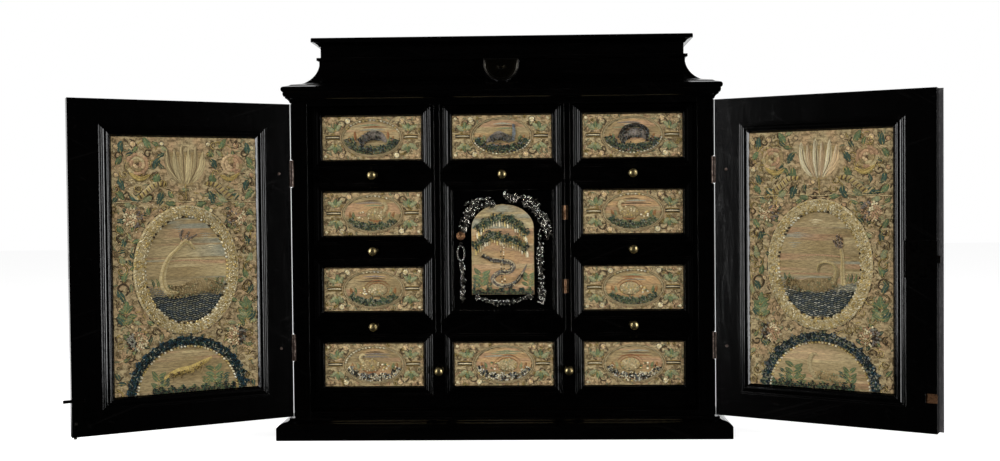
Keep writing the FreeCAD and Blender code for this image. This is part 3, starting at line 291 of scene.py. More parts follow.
def ebony_finish(name, stretch, scratched=0.07, dark=tint(3, 3, 3), light=tint(9, 8, 8)):
    finish, tree = new_finish(name)
    place = place_on(tree)
    grain = set_node(tree, "ShaderNodeGroup", {
        "Place": place, "Stretch": stretch, "Dark": dark, "Light": light,
        "Roughness": 0.15}, node_tree=wood_grain).outputs
    wear = set_node(tree, "ShaderNodeGroup", {"Place": place}, node_tree=handling).outputs
    marked = sum_of(tree, "MULTIPLY", wear["Scratches"], scratched)
    faded = sum_of(tree, "MAXIMUM", marked, wear["Rubbed"])
    close_finish(tree, mix_of(tree, faded, grain["Color"], tint(34, 32, 31)),
                 sum_of(tree, "MULTIPLY_ADD", marked, 0.5, grain["Roughness"]),
                 grain["Height"], 0.000012, wear["Normal"], Specular_IOR_Level=0.4)
    return finish


upright_grain, level_grain = (14, 14, 1.4), (1.4, 14, 14)
ebony_upright = ebony_finish("ebony_upright_grain", upright_grain)
ebony_level = ebony_finish("ebony_level_grain", level_grain, 0.05)
dress(ebony_upright, "carcass_sides", "partitions", "left_door", "right_door", "cupboard_door")
dress(ebony_level, "base", "cornice", "crown_frame", "dust_boards", "floor_board", "lid",
      "top_board", *[drawer + "_front" for drawer in drawers])
door = nodes["right_door"].data
door.materials.append(
    ebony_finish("rubbed_lip", upright_grain, 0.4, tint(78, 77, 78), tint(108, 106, 106)))
lip_from = 0.514
for face in door.polygons:
    face.material_index = int(face.center.x > lip_from and face.normal.y < -0.6)


# --- Dust beads beside the doors ---------------------------------------------------------------
# A narrow rounded bead of ebony is glued to each side of the carcass just behind its front edge.
# It stops above and below each hinge, and the open door comes to lie against it.
def sleeve(rows, count, start=0):
    """The faces between closed rings of points, each ring count points long."""
    faces = []
    for low in range(start, start + (rows - 1) * count, count):
        for step in range(count):
            after = (step + 1) % count
            faces.append((low + step, low + after, low + count + after, low + count + step))
    return faces


side_plane, front_plane = 270, 155
bead_section = [(0.0, 0.9), (1.42, 0.9), (1.5, 1.3), (1.5, 4.2), (1.2, 4.8), (0.6, 5.0),
                (0.0, 5.0)]
bead_spans = [(27.2, 99.2), (134.8, 323.6), (359.2, 431.2)]


def dust_bead(name, hand):
    count, points, faces = len(bead_section), [], []
    for low, high in bead_spans:
        start = len(points)
        for z, share in ((low, 0.3), (low + 0.8, 1.0), (high - 0.8, 1.0), (high, 0.3)):
            points += [(hand * (side_plane + out * share) / 1000, (back - front_plane) / 1000,
                        z / 1000) for out, back in bead_section]
        faces += sleeve(4, count, start)
        faces += [tuple(range(start, start + count)),
                  tuple(range(start + 3 * count, start + 4 * count))]
    bead = set_out(name, points, faces, ebony_upright)
    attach(bead, "carcass")


dust_bead("left_dust_bead", -1)
dust_bead("right_dust_bead", 1)

# --- Iron hinges, bolts and lock ---------------------------------------------------------------
# The door hinges, the bolts, the tongue and the lock case are forged iron, blackened and waxed,
# with bright metal where parts rub. A copper plate takes the wear where the tongue lies.
tarnish, given, result = new_group(
    "tarnish",
    [("Place", "Vector", None), ("Clean", "Color", None), ("Dull", "Color", None),
     ("Amount", "Float", 0.5)],
    [("Color", "Color"), ("Roughness", "Float"), ("Height", "Float")])
tree = tarnish
cloud = noise_of(tree, given["Place"], 190.0, 5.0, Roughness=0.7)
pits = noise_of(tree, given["Place"], 900.0, 2.0)
dulled = range_of(tree, sum_of(tree, "MULTIPLY_ADD", given["Amount"], 0.5, cloud), 0.55, 0.95)
tree.links.new(mix_of(tree, dulled, given["Clean"], given["Dull"]), result["Color"])
tree.links.new(sum_of(tree, "MULTIPLY_ADD", dulled, 0.3, 0.24), result["Roughness"])
tree.links.new(pits, result["Height"])


def metal_finish(name, clean, dull, amount):
    finish, tree = new_finish(name)
    skin = set_node(tree, "ShaderNodeGroup", {
        "Place": place_on(tree), "Clean": clean, "Dull": dull, "Amount": amount},
        node_tree=tarnish).outputs
    close_finish(tree, skin["Color"], skin["Roughness"], skin["Height"], 0.00005, Metallic=1.0)
    return finish


blacked_iron = metal_finish("blacked_iron", tint(98, 88, 82), tint(42, 32, 28), 0.55)
bright_iron = metal_finish("bright_iron", tint(96, 92, 88), tint(42, 34, 28), 0.5)
japanned_iron = metal_finish("japanned_iron", tint(22, 21, 20), tint(9, 8, 8), 0.6)
worn_copper = metal_finish("worn_copper", tint(160, 120, 88), tint(64, 44, 34), 0.45)
dress(blacked_iron, "door_hinge_fixed_leaves", "left_door_hinge_leaves", "right_door_hinge_leaves")
dress(japanned_iron, "right_door_lock", "left_door_tongue")
dress(bright_iron, "left_door_bolt", "right_door_lock_bolt")
lock = nodes["right_door_lock"].data
lock.materials.append(worn_copper)
wear_plate_height = 0.03
plate_top = min(corner.co.z for corner in lock.vertices) + wear_plate_height
for face in lock.polygons:
    face.material_index = int(face.center.z < plate_top)

# --- Brass hinges ------------------------------------------------------------------------------
# The leaves of the cupboard and lid hinges are cast brass, filed and once gilt, now browned in the
# hollows. Pins hold them to the wood.
browned_brass = metal_finish("browned_brass", tint(138, 108, 84), tint(58, 42, 30), 0.5)
dress(browned_brass, "small_hinge_fixed_leaves", "cupboard_hinge_leaves", "lid_hinge_leaves")

# --- Lock plate of the crown -------------------------------------------------------------------
# A half-round plate beaten from brass round the keyhole of the crown lock: a raised rim rubbed
# bright, a dished field gone brown, and a ring turned up round the keyhole.
plate_brass = metal_finish("plate_brass", tint(34, 31, 24), tint(12, 11, 9), 0.6)
rim_brass = metal_finish("rim_brass", tint(66, 64, 60), tint(24, 22, 20), 0.45)
low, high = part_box("crown_escutcheon")
half, key_z = (high.x - low.x) / 2, 0.4772
edge_line = [(half * math.cos(math.pi * (1 + step / 40)),
              low.z + half + half * math.sin(math.pi * (1 + step / 40))) for step in range(41)]
edge_line += [(half * (1 - step / 10), high.z) for step in range(21)]
rings = [(1.0, 0.0), (1.0, 0.7), (0.985, 1.25), (0.955, 1.55), (0.925, 1.3), (0.9, 0.75),
         (0.86, 0.6), (0.83, 0.9), (0.8, 0.65), (0.5, 0.45), (0.24, 0.55), (0.2, 1.1),
         (0.16, 1.15), (0.13, 0.7), (0.12, 0.1)]
bright_rings = (1, 2, 3, 4, 7, 11)
points = [(x * share, high.y - reach / 1000, key_z + (z - key_z) * share)
          for share, reach in rings for x, z in edge_line]
count = len(edge_line)
faces = sleeve(len(rings), count) + [tuple(range((len(rings) - 1) * count, len(rings) * count))]
crown_plate = set_out("crown_lock_plate", points, faces, plate_brass, rim_brass, smooth=True)
crown_plate.data.polygons.foreach_set(
    "material_index", [int(face // count in bright_rings) for face in range(len(faces))])
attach(crown_plate, "carcass")
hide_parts("crown_escutcheon")

# --- Turned brass knobs ------------------------------------------------------------------------
# Each drawer is pulled by a knob turned from brass: a thin foot, a waist and a round, low-domed
# head. Its tang goes through the front.
gilt_brass = metal_finish("gilt_brass", tint(182, 168, 122), tint(86, 68, 42), 0.45)
knob_profile = [(1.3, -6), (1.3, 0.02), (3.6, 0.03), (3.7, 0.45), (3.3, 0.95), (2.3, 1.3),
                (2.15, 2.6), (2.5, 3.7), (4.2, 4.6), (5.3, 5.6), (5.72, 7.0), (5.6, 8.3),
                (4.9, 9.6), (3.6, 10.7), (2.0, 11.25), (0.6, 11.4)]
knob_sides, knob_width, knob_reach = 40, 0.0115, 0.0114


def turned_knob(name, centre, drawer):
    """A knob turned on the lathe, its axis toward the front, from its (radius, reach) in mm."""
    points = []
    for radius, reach in knob_profile:
        for step in range(knob_sides):
            angle = 2 * math.pi * step / knob_sides
            spot = Vector((radius * math.cos(angle), -reach, radius * math.sin(angle)))
            points.append(centre + spot / 1000)
    head = (len(knob_profile) - 1) * knob_sides
    faces = sleeve(len(knob_profile), knob_sides) + [tuple(range(head, head + knob_sides))]
    knob = set_out(name, points, faces, gilt_brass, smooth=True)
    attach(knob, drawer)
    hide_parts(drawer + "_knob")


for drawer in drawers:
    low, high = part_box(drawer + "_knob")
    middle = Vector(((low.x + high.x) / 2, low.y + knob_reach, (low.z + high.z) / 2))
    if drawer == "bottom_drawer":
        for count, hand in enumerate(("_left", "_right")):
            across = low.x + knob_width / 2 + count * (high.x - low.x - knob_width)
            spot = Vector((across, middle.y, middle.z))
            turned_knob(drawer + "_turned_knob" + hand, spot, drawer)
    else:
        turned_knob(drawer + "_turned_knob", middle, drawer)


# --- Silk grounds ------------------------------------------------------------------------------
# Every panel is a piece of linen covered with straw-coloured silk and stretched over a thin board
# that is let in behind the moulding. The laid threads lie in short, uneven rows; their colour is
# painted lighter on each thread's crest and in some rows, and darker between threads, as painted
# light and shade.
def panels_on(node):
    """The fronts of a node's panels: (place, width, height) from left to right, in millimetres."""
    mesh = nodes[node].data
    faces = [face for face in mesh.polygons if face.normal.y < 0]
    front = max(faces, key=lambda face: face.area).normal.normalized()
    across = Vector((0, 0, 1)).cross(front)
    reach = max(front.dot(corner.co) for corner in mesh.vertices)
    joined = list(range(len(mesh.vertices)))

    def first(corner):
        while joined[corner] != corner:
            corner = joined[corner]
        return corner

    for edge in mesh.edges:
        one, other = (first(corner) for corner in edge.vertices)
        joined[max(one, other)] = min(one, other)
    panels = {}
    for corner in mesh.vertices:
        if front.dot(corner.co) > reach - 0.0003:
            spots = panels.setdefault(first(corner.index), [])
            spots.append((across.dot(corner.co), corner.co.z))
    found = []
    for spots in panels.values():
        (left, right), (foot, head) = ((min(values), max(values)) for values in zip(*spots))
        if min(right - left, head - foot) > 0.01:
            place = Matrix((across, Vector((0, 0, 1)), front)).transposed().to_4x4()
            middle = Vector((0, 0, (foot + head) / 2))
            place.translation = across * (left + right) / 2 + middle + front * reach
            place = place @ Matrix.Scale(0.001, 4)
            found.append((left, place, (right - left) * 1000, (head - foot) * 1000))
    return [panel[1:] for panel in sorted(found, key=lambda panel: panel[0])]


silk_threads, given, result = new_group(
    "silk_threads",
    [("Stitch", "Vector", None), ("Dye", "Color", None), ("Pitch", "Float", 0.5),
     ("Bundle", "Float", 1.0), ("Depth", "Float", 0.5)],
    [("Color", "Color"), ("Roughness", "Float"), ("Height", "Float")])
tree = silk_threads
across = set_node(tree, "ShaderNodeSeparateXYZ", {0: given["Stitch"]}).outputs["X"]
wander = noise_of(tree, given["Stitch"], 0.35, 2.0)
thread = sum_of(tree, "DIVIDE", across, given["Pitch"])
thread = sum_of(tree, "MULTIPLY_ADD", wander, 5.0, thread)
round_thread = sum_of(tree, "SINE", sum_of(tree, "MULTIPLY", thread, 2 * math.pi))
ridge = sum_of(tree, "MULTIPLY_ADD", round_thread, 0.5, 0.5)
squeezed = stretch_of(tree, given["Stitch"], (1.0, 0.22, 1.0))
bundled = range_of(tree, noise_of(tree, squeezed, given["Bundle"], 4.0, Roughness=0.7), 0.35, 0.65)
# Painted shade and sheen: the dye is lighter on thread crests and in some bundles, darker between.
painted_thread_light = sum_of(tree, "MULTIPLY_ADD", sum_of(tree, "MULTIPLY", ridge, 0.35), 1.0, bundled)
least = sum_of(tree, "SUBTRACT", 1.12, given["Depth"])
painted_light_scale = sum_of(tree, "MULTIPLY_ADD", painted_thread_light, given["Depth"], least)
painted_light_dye = set_node(tree, "ShaderNodeVectorMath", {0: given["Dye"], "Scale": painted_light_scale},
                   operation="SCALE")
tree.links.new(painted_light_dye.outputs[0], result["Color"])
tree.links.new(sum_of(tree, "MULTIPLY_ADD", bundled, -0.2, 0.62), result["Roughness"])
tree.links.new(sum_of(tree, "MULTIPLY_ADD", bundled, 0.6, ridge), result["Height"])


def silk_finish(name, pitch, bundle, painted_light_depth, tones=None, **plain):
    """Thread dyed by the mesh's dye attribute, or for a ground in tones that drift over it."""
    finish, tree = new_finish(name)
    stitch = set_node(tree, "ShaderNodeUVMap", uv_map="stitch").outputs[0]
    if tones:
        drift = range_of(tree, noise_of(tree, stitch, 0.045, 3.0), 0.4, 0.66)
        fleck = range_of(tree, noise_of(tree, stitch, 0.16, 5.0, Roughness=0.7), 0.56, 0.38)
        dye = mix_of(tree, fleck, mix_of(tree, drift, tones[0], tones[1]), tones[2])
    else:
        dye = set_node(tree, "ShaderNodeAttribute", attribute_name="dye").outputs["Color"]
    threads = set_node(tree, "ShaderNodeGroup", {
        "Stitch": stitch, "Dye": dye, "Pitch": pitch, "Bundle": bundle, "Depth": painted_light_depth},
        node_tree=silk_threads).outputs
    close_finish(tree, threads["Color"], threads["Roughness"], threads["Height"], 0.00018, **plain)
    return finish


ground_silk = silk_finish("laid_ground_silk", 1.3, 0.42, 0.5,
                          (tint(158, 141, 104), tint(158, 131, 96), tint(98, 82, 54)),
                          Sheen_Weight=0.04, Specular_IOR_Level=0.3)


def stitched_piece(name, points, faces, finishes, stitches, dyes=None, kinds=None):
    """A piece with the lie of its threads on it, and where they differ their dyes and kinds."""
    piece = set_out(name, points, faces, *finishes, smooth=True)
    mesh = piece.data
    if kinds:
        mesh.polygons.foreach_set("material_index", kinds)
    turns = mesh.uv_layers.new(name="stitch")
    corners = [0] * len(mesh.loops)
    mesh.loops.foreach_get("vertex_index", corners)
    turns.data.foreach_set("uv", [part for corner in corners for part in stitches[corner]])
    if dyes:
        colours = mesh.color_attributes.new("dye", "FLOAT_COLOR", "POINT")
        colours.data.foreach_set("color", [part for dye in dyes for part in dye])
    return piece


def ground(name, place, width, height, node, body, seed, edge_of=None):
    """Silk stretched over one panel, puckered a little by the needlework."""
    chance = random.Random(seed)
    columns, rows = int(width / 2), int(height / 2)
    points, stitches, faces = [], [], []
    for row in range(rows + 1):
        for column in range(columns + 1):
            x = (column / columns - 0.5) * width
            z = (row / rows - 0.5) * height
            if edge_of:
                x, z = edge_of(x, z)
            rim = column in (0, columns) or row in (0, rows)
            points.append(place @ Vector((x, z, -0.4 if rim else chance.uniform(-0.3, 0.15))))
            stitches.append((z + x * 0.05, x))
    for row in range(rows):
        for column in range(columns):
            corner = row * (columns + 1) + column
            faces.append((corner, corner + 1, corner + columns + 2, corner + columns + 1))
    piece = stitched_piece(name, points, faces, [ground_silk], stitches)
    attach(piece, body)
    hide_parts(node)
    return piece


# --- Raised needlework -------------------------------------------------------------------------
# The pictures are padded satin stitch, couched cord, gilt and silvered purl, beads and spangles
# on the silk ground. Each motif is a band of stitches laid along a line and domed over padding.
silks = {
    "white": tint(222, 212, 180), "cream": tint(194, 180, 142), "straw": tint(170, 153, 112),
    "sand": tint(152, 134, 97), "blush": tint(178, 152, 114), "rose": tint(158, 126, 94),
    "orange": tint(166, 134, 92), "gold": tint(160, 138, 80), "fawn": tint(138, 119, 82),
    "rust": tint(128, 86, 52), "brown": tint(88, 70, 46), "umber": tint(44, 37, 26),
    "mist": tint(140, 138, 118), "grey": tint(122, 120, 102), "mauve": tint(112, 103, 93),
    "sage": tint(122, 125, 92), "green": tint(88, 102, 70), "teal": tint(54, 74, 62),
    "sea": tint(34, 64, 74), "blue": tint(34, 45, 46), "night": tint(27, 33, 31)}
purls = {
    "gilt": tint(222, 198, 132), "bronze": tint(136, 114, 66),
    "silver": tint(226, 222, 204), "steel": tint(120, 126, 128)}
dyed_silk = silk_finish("dyed_silk_stitches", 0.55, 0.6, 0.52, Sheen_Weight=0.04,
                        Specular_IOR_Level=0.3)
metal_purl = silk_finish("gilt_and_silvered_purl", 0.8, 1.4, 0.5, Metallic=0.7)


def smooth_line(points, step):
    """Points every step millimetres on a smooth line through the given ones."""
    chain = [points[0], *points, points[-1]]
    line = []
    for a, b, c, d in zip(chain, chain[1:], chain[2:], chain[3:]):
        parts = max(1, round(math.dist(b, c) / step))
        for part in range(parts):
            t = part / parts
            line.append(tuple(0.5 * (2 * q + (r - p) * t + (2 * p - 5 * q + 4 * r - s) * t * t
                                     + (3 * q - p - 3 * r + s) * t ** 3) for p, q, r,
                              s in zip(a, b, c, d)))
    line.append(tuple(points[-1]))
    return line


class Needlework:
    """One panel's raised work, in mm from its middle: x to the right, z up, h off the silk."""

    def __init__(self, width, height, seed, edge_of=None):
        self.half_width, self.half_height = width / 2 - 0.4, height / 2 - 0.4
        self.chance = random.Random(seed)
        self.edge_of = edge_of
        self.points, self.faces, self.dyes, self.stitches, self.kinds = [], [], [], [], []

    def put(self, x, z, h, dye, stitch):
        x = max(-self.half_width, min(self.half_width, x))
        z = max(-self.half_height, min(self.half_height, z))
        if self.edge_of:
            x, z = self.edge_of(x, z)
        self.points.append((x, z, h))
        self.dyes.append(dye)
        self.stitches.append(stitch)

    def join(self, corners, kind=0):
        self.faces.append(corners)
        self.kinds.append(kind)

    def dye(self, name):
        fade = self.chance.uniform(0.8, 1.18)
        plain = silks.get(name) or purls[name]
        return tuple(min(1.0, part * fade) for part in plain[:3]) + (1.0,)

    def band(self, line, breadth, silk, rise=0.9, lift=0.0, along=False, ribs=4, step=1.6,
             edge=0.0):
        """Satin stitch along a line. The breadths are half widths, spread evenly over the line."""
        # An edge lays a wider, flat band of umber under the stitches: painted shade round the motif.
        if edge:
            self.band(line, [half + edge for half in breadth], "umber", 0.5, lift, ribs=2,
                      step=step * 1.5)
        path = smooth_line(line, step)
        dye, start, count, run = self.dye(silk), len(self.points), len(path), 0.0
        widest = max(breadth)
        for index, (x, z) in enumerate(path):
            before, after = path[max(index - 1, 0)], path[min(index + 1, count - 1)]
            length = math.dist(before, after) or 1.0
            side = (-(after[1] - before[1]) / length, (after[0] - before[0]) / length)
            run += math.dist(before, (x, z))
            spot = index / max(count - 1, 1) * (len(breadth) - 1)
            first = min(int(spot), len(breadth) - 1)
            then = min(first + 1, len(breadth) - 1)
            half = breadth[first] + (breadth[then] - breadth[first]) * (spot - first)
            for rib in range(ribs + 1):
                share = 2 * rib / ribs - 1
                dome = rise * math.sqrt(max(0.0, 1 - share * share))
                height = lift - 0.15 + dome * (half / widest) ** 0.6
                stitch = (share * half, run) if along else (run, share * half)
                self.put(x + side[0] * half * share, z + side[1] * half * share, height, dye,
                         stitch)
        for index in range(count - 1):
            for rib in range(ribs):
                corner = start + index * (ribs + 1) + rib
                self.join((corner, corner + ribs + 1, corner + ribs + 2, corner + 1),
                          int(silk in purls))

    def bead(self, x, z, long, short, turn, silk, rise=1.0, lift=0.0, sides=6):
        """One bead, knot or loop of purl: a little dome, long by short in half sizes."""
        dye, start, kind = self.dye(silk), len(self.points), int(silk in purls)
        c, s = math.cos(turn), math.sin(turn)
        for share, height in ((1.0, -0.1), (0.85, 0.55), (0.45, 0.9)):
            for step in range(sides):
                angle = 2 * math.pi * step / sides
                u, v = long * share * math.cos(angle), short * share * math.sin(angle)
                self.put(x + u * c - v * s, z + u * s + v * c, lift + rise * height, dye, (u, v))
        self.put(x, z, lift + rise, dye, (0, 0))
        for face in sleeve(3, sides, start):
            self.join(face, kind)
        top = start + 2 * sides
        for step in range(sides):
            self.join((top + step, top + (step + 1) % sides, top + sides), kind)

    def cord(self, line, half, silk, lay=0.75, rise=1.4, lift=0.0, other=None):
        """Couched cord: slanting lays one after the other along a line."""
        path = smooth_line(line, max(0.9, half * 0.8))
        for index, (x, z) in enumerate(path[:-1]):
            after = path[index + 1]
            heading = math.atan2(after[1] - z, after[0] - x)
            colour = other if other and index % 2 else silk
            self.bead(x, z, half * 1.15, max(0.45, half * 0.42), heading + lay, colour, rise, lift)

    def pile(self, line, inner, outer, threads, size=1.1, rise=1.8, spacing=1.5, scallop=0.0,
             lean=None):
        """Loops set close together on the left of a line, from inner to outer mm off it."""
        path = smooth_line(line, spacing)
        for index, (x, z) in enumerate(path[:-1]):
            after = path[index + 1]
            side = math.atan2(after[1] - z, after[0] - x) + math.pi / 2
            off, edge = inner, outer * (1 + scallop * math.sin(index * spacing * 0.55))
            while off < edge:
                spot = off + self.chance.uniform(-0.3, 0.3) * size
                slip = self.chance.uniform(-0.4, 0.4) * spacing
                if lean is None:
                    turn = self.chance.uniform(0, math.pi)
                else:
                    turn = side + lean + self.chance.uniform(-0.4, 0.4)
                long = size * self.chance.uniform(0.8, 1.4)
                short = size * self.chance.uniform(0.45, 0.75)
                self.bead(x + spot * math.cos(side) - slip * math.sin(side),
                          z + spot * math.sin(side) + slip * math.cos(side), long, short, turn,
                          self.chance.choice(threads), rise * self.chance.uniform(0.6, 1.4))
                off += size * 1.5

    def field(self, x, z, half_at, low, high, tones, pitch=0.8):
        """Level rows of laid silk, half_at(row) wide each way, in tones that drift."""
        row, count, parts = low, 0, 16
        ends = [silks[self.chance.choice(tones)] for _ in range(3)]
        while row <= high:
            if self.chance.random() < 0.16:
                ends = [silks[self.chance.choice(tones)] for _ in range(3)]
            if not count or self.chance.random() < 0.3:
                fade = self.chance.uniform(0.84, 1.1)
            half, start = max(0.2, half_at(row)), len(self.points)
            for part in range(parts + 1):
                share = part / parts * 2
                here, there = ends[int(min(share, 1))], ends[int(min(share, 1)) + 1]
                blend = share - int(min(share, 1))
                tone = fade * self.chance.uniform(0.95, 1.05)
                pairs = zip(here[:3], there[:3])
                dye = tuple((a + (b - a) * blend) * tone for a, b in pairs) + (1.0,)
                off, height = half * (share - 1), 0.35 + 0.12 * (count % 2)
                self.put(x + off, z + row, height, dye, (row, off))
            if count:
                for part in range(parts):
                    self.join((start - parts - 1 + part, start - parts + part, start + part + 1,
                               start + part))
            row, count = row + pitch, count + 1

    def sew(self, name, place, body, finishes=(dyed_silk, metal_purl)):
        points = [place @ Vector(point) for point in self.points]
        piece = stitched_piece(name, points, self.faces, finishes, self.stitches, self.dyes,
                               self.kinds)
        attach(piece, body)
        return piece


def ring_of(x, z, half_wide, half_high, begin, end, count):
    """Points along an oval round x, z, between two angles in degrees."""
    turns = [math.radians(begin + (end - begin) * step / count) for step in range(count + 1)]
    return [(x + half_wide * math.cos(turn), z + half_high * math.sin(turn)) for turn in turns]


def oval_room(half_wide, half_high):
    """How far an oval reaches to each side of its middle, by the height of a row in it."""
    return lambda row: half_wide * math.sqrt(max(0.0, 1 - (row / half_high) ** 2))


def leaf(work, x, z, length, turn, silk, half=None, rise=1.3):
    """A pointed leaf with a pale vein, from its stalk at x, z."""
    c, s = math.cos(math.radians(turn)), math.sin(math.radians(turn))
    half = half or length * 0.28
    bend = work.chance.uniform(-0.12, 0.12) * length
    middle = (x + length * 0.5 * c - bend * s, z + length * 0.5 * s + bend * c)
    work.band([(x, z), middle, (x + length * c, z + length * s)],
              (0.2, half * 0.85, half, half * 0.7, 0.15), silk, rise, edge=0.55)
    work.band([(x, z), middle, (x + length * 0.85 * c, z + length * 0.85 * s)],
              (0.35, 0.35, 0.2), "gold", 0.4, rise * 0.8, ribs=2)


def curl(work, x, z, size, turn, silk, way=1, half=0.7):
    """A couched stem that winds up in a curl."""
    line = []
    for step in range(11):
        angle = math.radians(turn) + way * step * 0.62
        radius = size * (1 - step / 13)
        line.append((x + radius * math.cos(angle), z + radius * math.sin(angle)))
    # The umber band under the cord is painted shade round it.
    work.band(line, (half * 1.5,) * 3, "umber", 0.4)
    work.cord(line, half, silk, rise=1.2)


def rose(work, x, z, size, tones=("rose", "blush", "fawn", "rose", "straw")):
    """Rounds of short, domed petals, each edged with painted shade, with a knot in the middle."""
    for petals, share, long in ((9, 0.72, 0.42), (6, 0.4, 0.38), (3, 0.16, 0.26)):
        for petal in range(petals):
            angle = 2 * math.pi * (petal + 0.3 * petals) / petals
            middle = (x + size * share * math.cos(angle), z + size * share * math.sin(angle))
            u, v = -math.sin(angle) * size * long, math.cos(angle) * size * long
            petal_line = [(middle[0] - u, middle[1] - v),
                          (middle[0] + size * 0.1 * math.cos(angle),
                           middle[1] + size * 0.1 * math.sin(angle)),
                          (middle[0] + u, middle[1] + v)]
            work.band(petal_line, (0.3, size * 0.17, size * 0.19, size * 0.17, 0.3),
                      work.chance.choice(tones), 1.5, 0.9 * (0.8 - share), edge=0.5, step=1.2)
    work.bead(x, z, size * 0.13, size * 0.13, 0, "brown", 1.6, 0.8)


def spangle(work, x, z, radius, silk="blush"):
    """A flat spangle held by one bead."""
    # The ring of umber under the spangle is painted shade round it.
    work.bead(x, z, radius + 0.5, radius + 0.5, 0, "umber", 0.4, 0.0, sides=10)
    work.bead(x, z, radius, radius, 0, silk, 0.8, 0.1, sides=12)
    work.bead(x, z, radius * 0.3, radius * 0.3, 0, "gilt", 0.7, 0.8)


golden_turn = 2.39996


def knotted(work, x, z, radius, light, dark, way=1):
    """A round fruit of close knots, pale on one side and dark on the other, between leaves."""
    for turn in range(20, 380, 60):
        foot_x = x + radius * 0.75 * math.cos(math.radians(turn))
        foot_z = z + radius * 0.75 * math.sin(math.radians(turn))
        leaf(work, foot_x, foot_z, radius * 0.62, turn + work.chance.uniform(-25, 25),
             work.chance.choice(("green", "teal", "sage")))
    # A dome of umber under the knots shows between them as painted shade.
    work.bead(x, z, radius, radius, 0, "umber", 2.6, sides=16)
    knots = 70
    for seed in range(knots):
        away, turn = radius * 0.97 * math.sqrt((seed + 0.5) / knots), seed * golden_turn
        u, v = away * math.cos(turn), away * math.sin(turn)
        tones = light if way * u < radius * work.chance.uniform(-0.1, 0.5) else dark
        work.bead(x + u, z + v, radius * 0.15, radius * 0.12, turn, work.chance.choice(tones), 1.0,
                  2.3 * math.sqrt(1 - (away / radius) ** 2))


def tulip(work, x, z, width, height, tones, petals=6):
    """A large open flower: upright petals side by side, stitched lengthwise, with painted shade
    between them.
    """
    work.band([(x, z - 1), (x, z + height * 0.5), (x, z + height * 0.8)],
              (width * 0.16, width * 0.38, width * 0.47, width * 0.48), "fawn", 0.8, ribs=6)
    for petal in range(petals):
        share = (petal / (petals - 1) - 0.5) * 2
        half = width / petals * 0.6
        tall = height * (1 - 0.1 * abs(share) - (0.07 if petal % 2 else 0))
        top = (x + share * (width / 2 - half * 0.4), z + tall)
        foot = (x + share * width * 0.17, z + height * 0.05 * abs(share))
        belly = (x + share * (width * 0.4), z + height * 0.42)
        work.band([foot, belly, top], (0.9, half * 0.8, half, half, half * 0.9, half * 0.5, 0.2),
                  tones[petal % 2], 1.8 + 0.5 * (petal % 2), along=True, ribs=6, edge=0.3)
        for part in (-0.35, 0.35):
            vein = [(foot[0], foot[1] + 2), (belly[0] + half * part, belly[1]),
                    (top[0] + half * part * 0.6, top[1] - 3)]
            work.band(vein, (0.3, 0.5, 0.3), tones[2] if part < 0 else "brown", 0.7, 1.7, ribs=2)


def waves(work, x, z, half_at, low, high_at, threads, pitch=2.7):
    """Water: wavy rows of bright purl on a dark ground, under high_at(u)."""
    work.field(x, z, half_at, low, high_at(0) - 1, ["night", "blue", "night"])
    row, count = low + 1, 0
    while row < max(high_at(0), high_at(half_at(high_at(0)))):
        half, u = half_at(row) - 1.4, -half_at(row) + 1.4 + (count % 2) * 1.7
        while u < half:
            if row < high_at(u):
                work.bead(x + u, z + row + 0.8 * math.sin(u * 0.5), 2.3, 0.62,
                          0.38 * math.cos(u * 0.5), work.chance.choice(threads), 1.5, 0.2)
            u += 3.9
        row, count = row + pitch * 0.86, count + 1


def shrub(work, x, z, height, silk="green"):
    """A little plant: a stalk and pairs of leaves."""
    work.band([(x, z), (x + 0.4, z + height)], (0.6, 0.5, 0.3), "brown", 0.8, ribs=2)
    for pair in range(3):
        foot = z + height * (0.12 + 0.28 * pair)
        for turn in (35, 145):
            leaf(work, x, foot, height * 0.5, turn + work.chance.uniform(-14, 14), silk,
                 height * 0.15, 1.5)


def scatter(work, free, pitch, kinds, dense=1.0):
    """Small sprigs all over the ground wherever free(x, z) allows."""
    row = -work.half_height + pitch * 0.4
    while row < work.half_height:
        column = -work.half_width + pitch * 0.4
        while column < work.half_width:
            x = column + work.chance.uniform(-0.35, 0.35) * pitch
            z = row + work.chance.uniform(-0.35, 0.35) * pitch
            if free(x, z) and work.chance.random() < dense:
                kind, silk = work.chance.choice(kinds)
                turn = work.chance.uniform(0, 360)
                if kind == "leaf":
                    leaf(work, x, z, pitch * 0.8, turn, silk, pitch * 0.2, 1.1)
                elif kind == "curl":
                    curl(work, x, z, pitch * 0.42, turn, silk, work.chance.choice((-1, 1)), 0.65)
                elif kind == "spangle":
                    spangle(work, x, z, pitch * 0.2, silk)
                elif kind == "knot":
                    work.bead(x, z, pitch * 0.16, pitch * 0.13, turn, silk, 1.2)
                else:
                    u = pitch * 0.5 * math.cos(math.radians(turn))
                    v = pitch * 0.5 * math.sin(math.radians(turn))
                    work.band([(x - u, z - v), (x - 0.9, z + 0.8), (x + u, z + v)],
                              (0.4, 0.8, 0.4), silk, 1.0, edge=0.4)
            column += pitch
        row += pitch


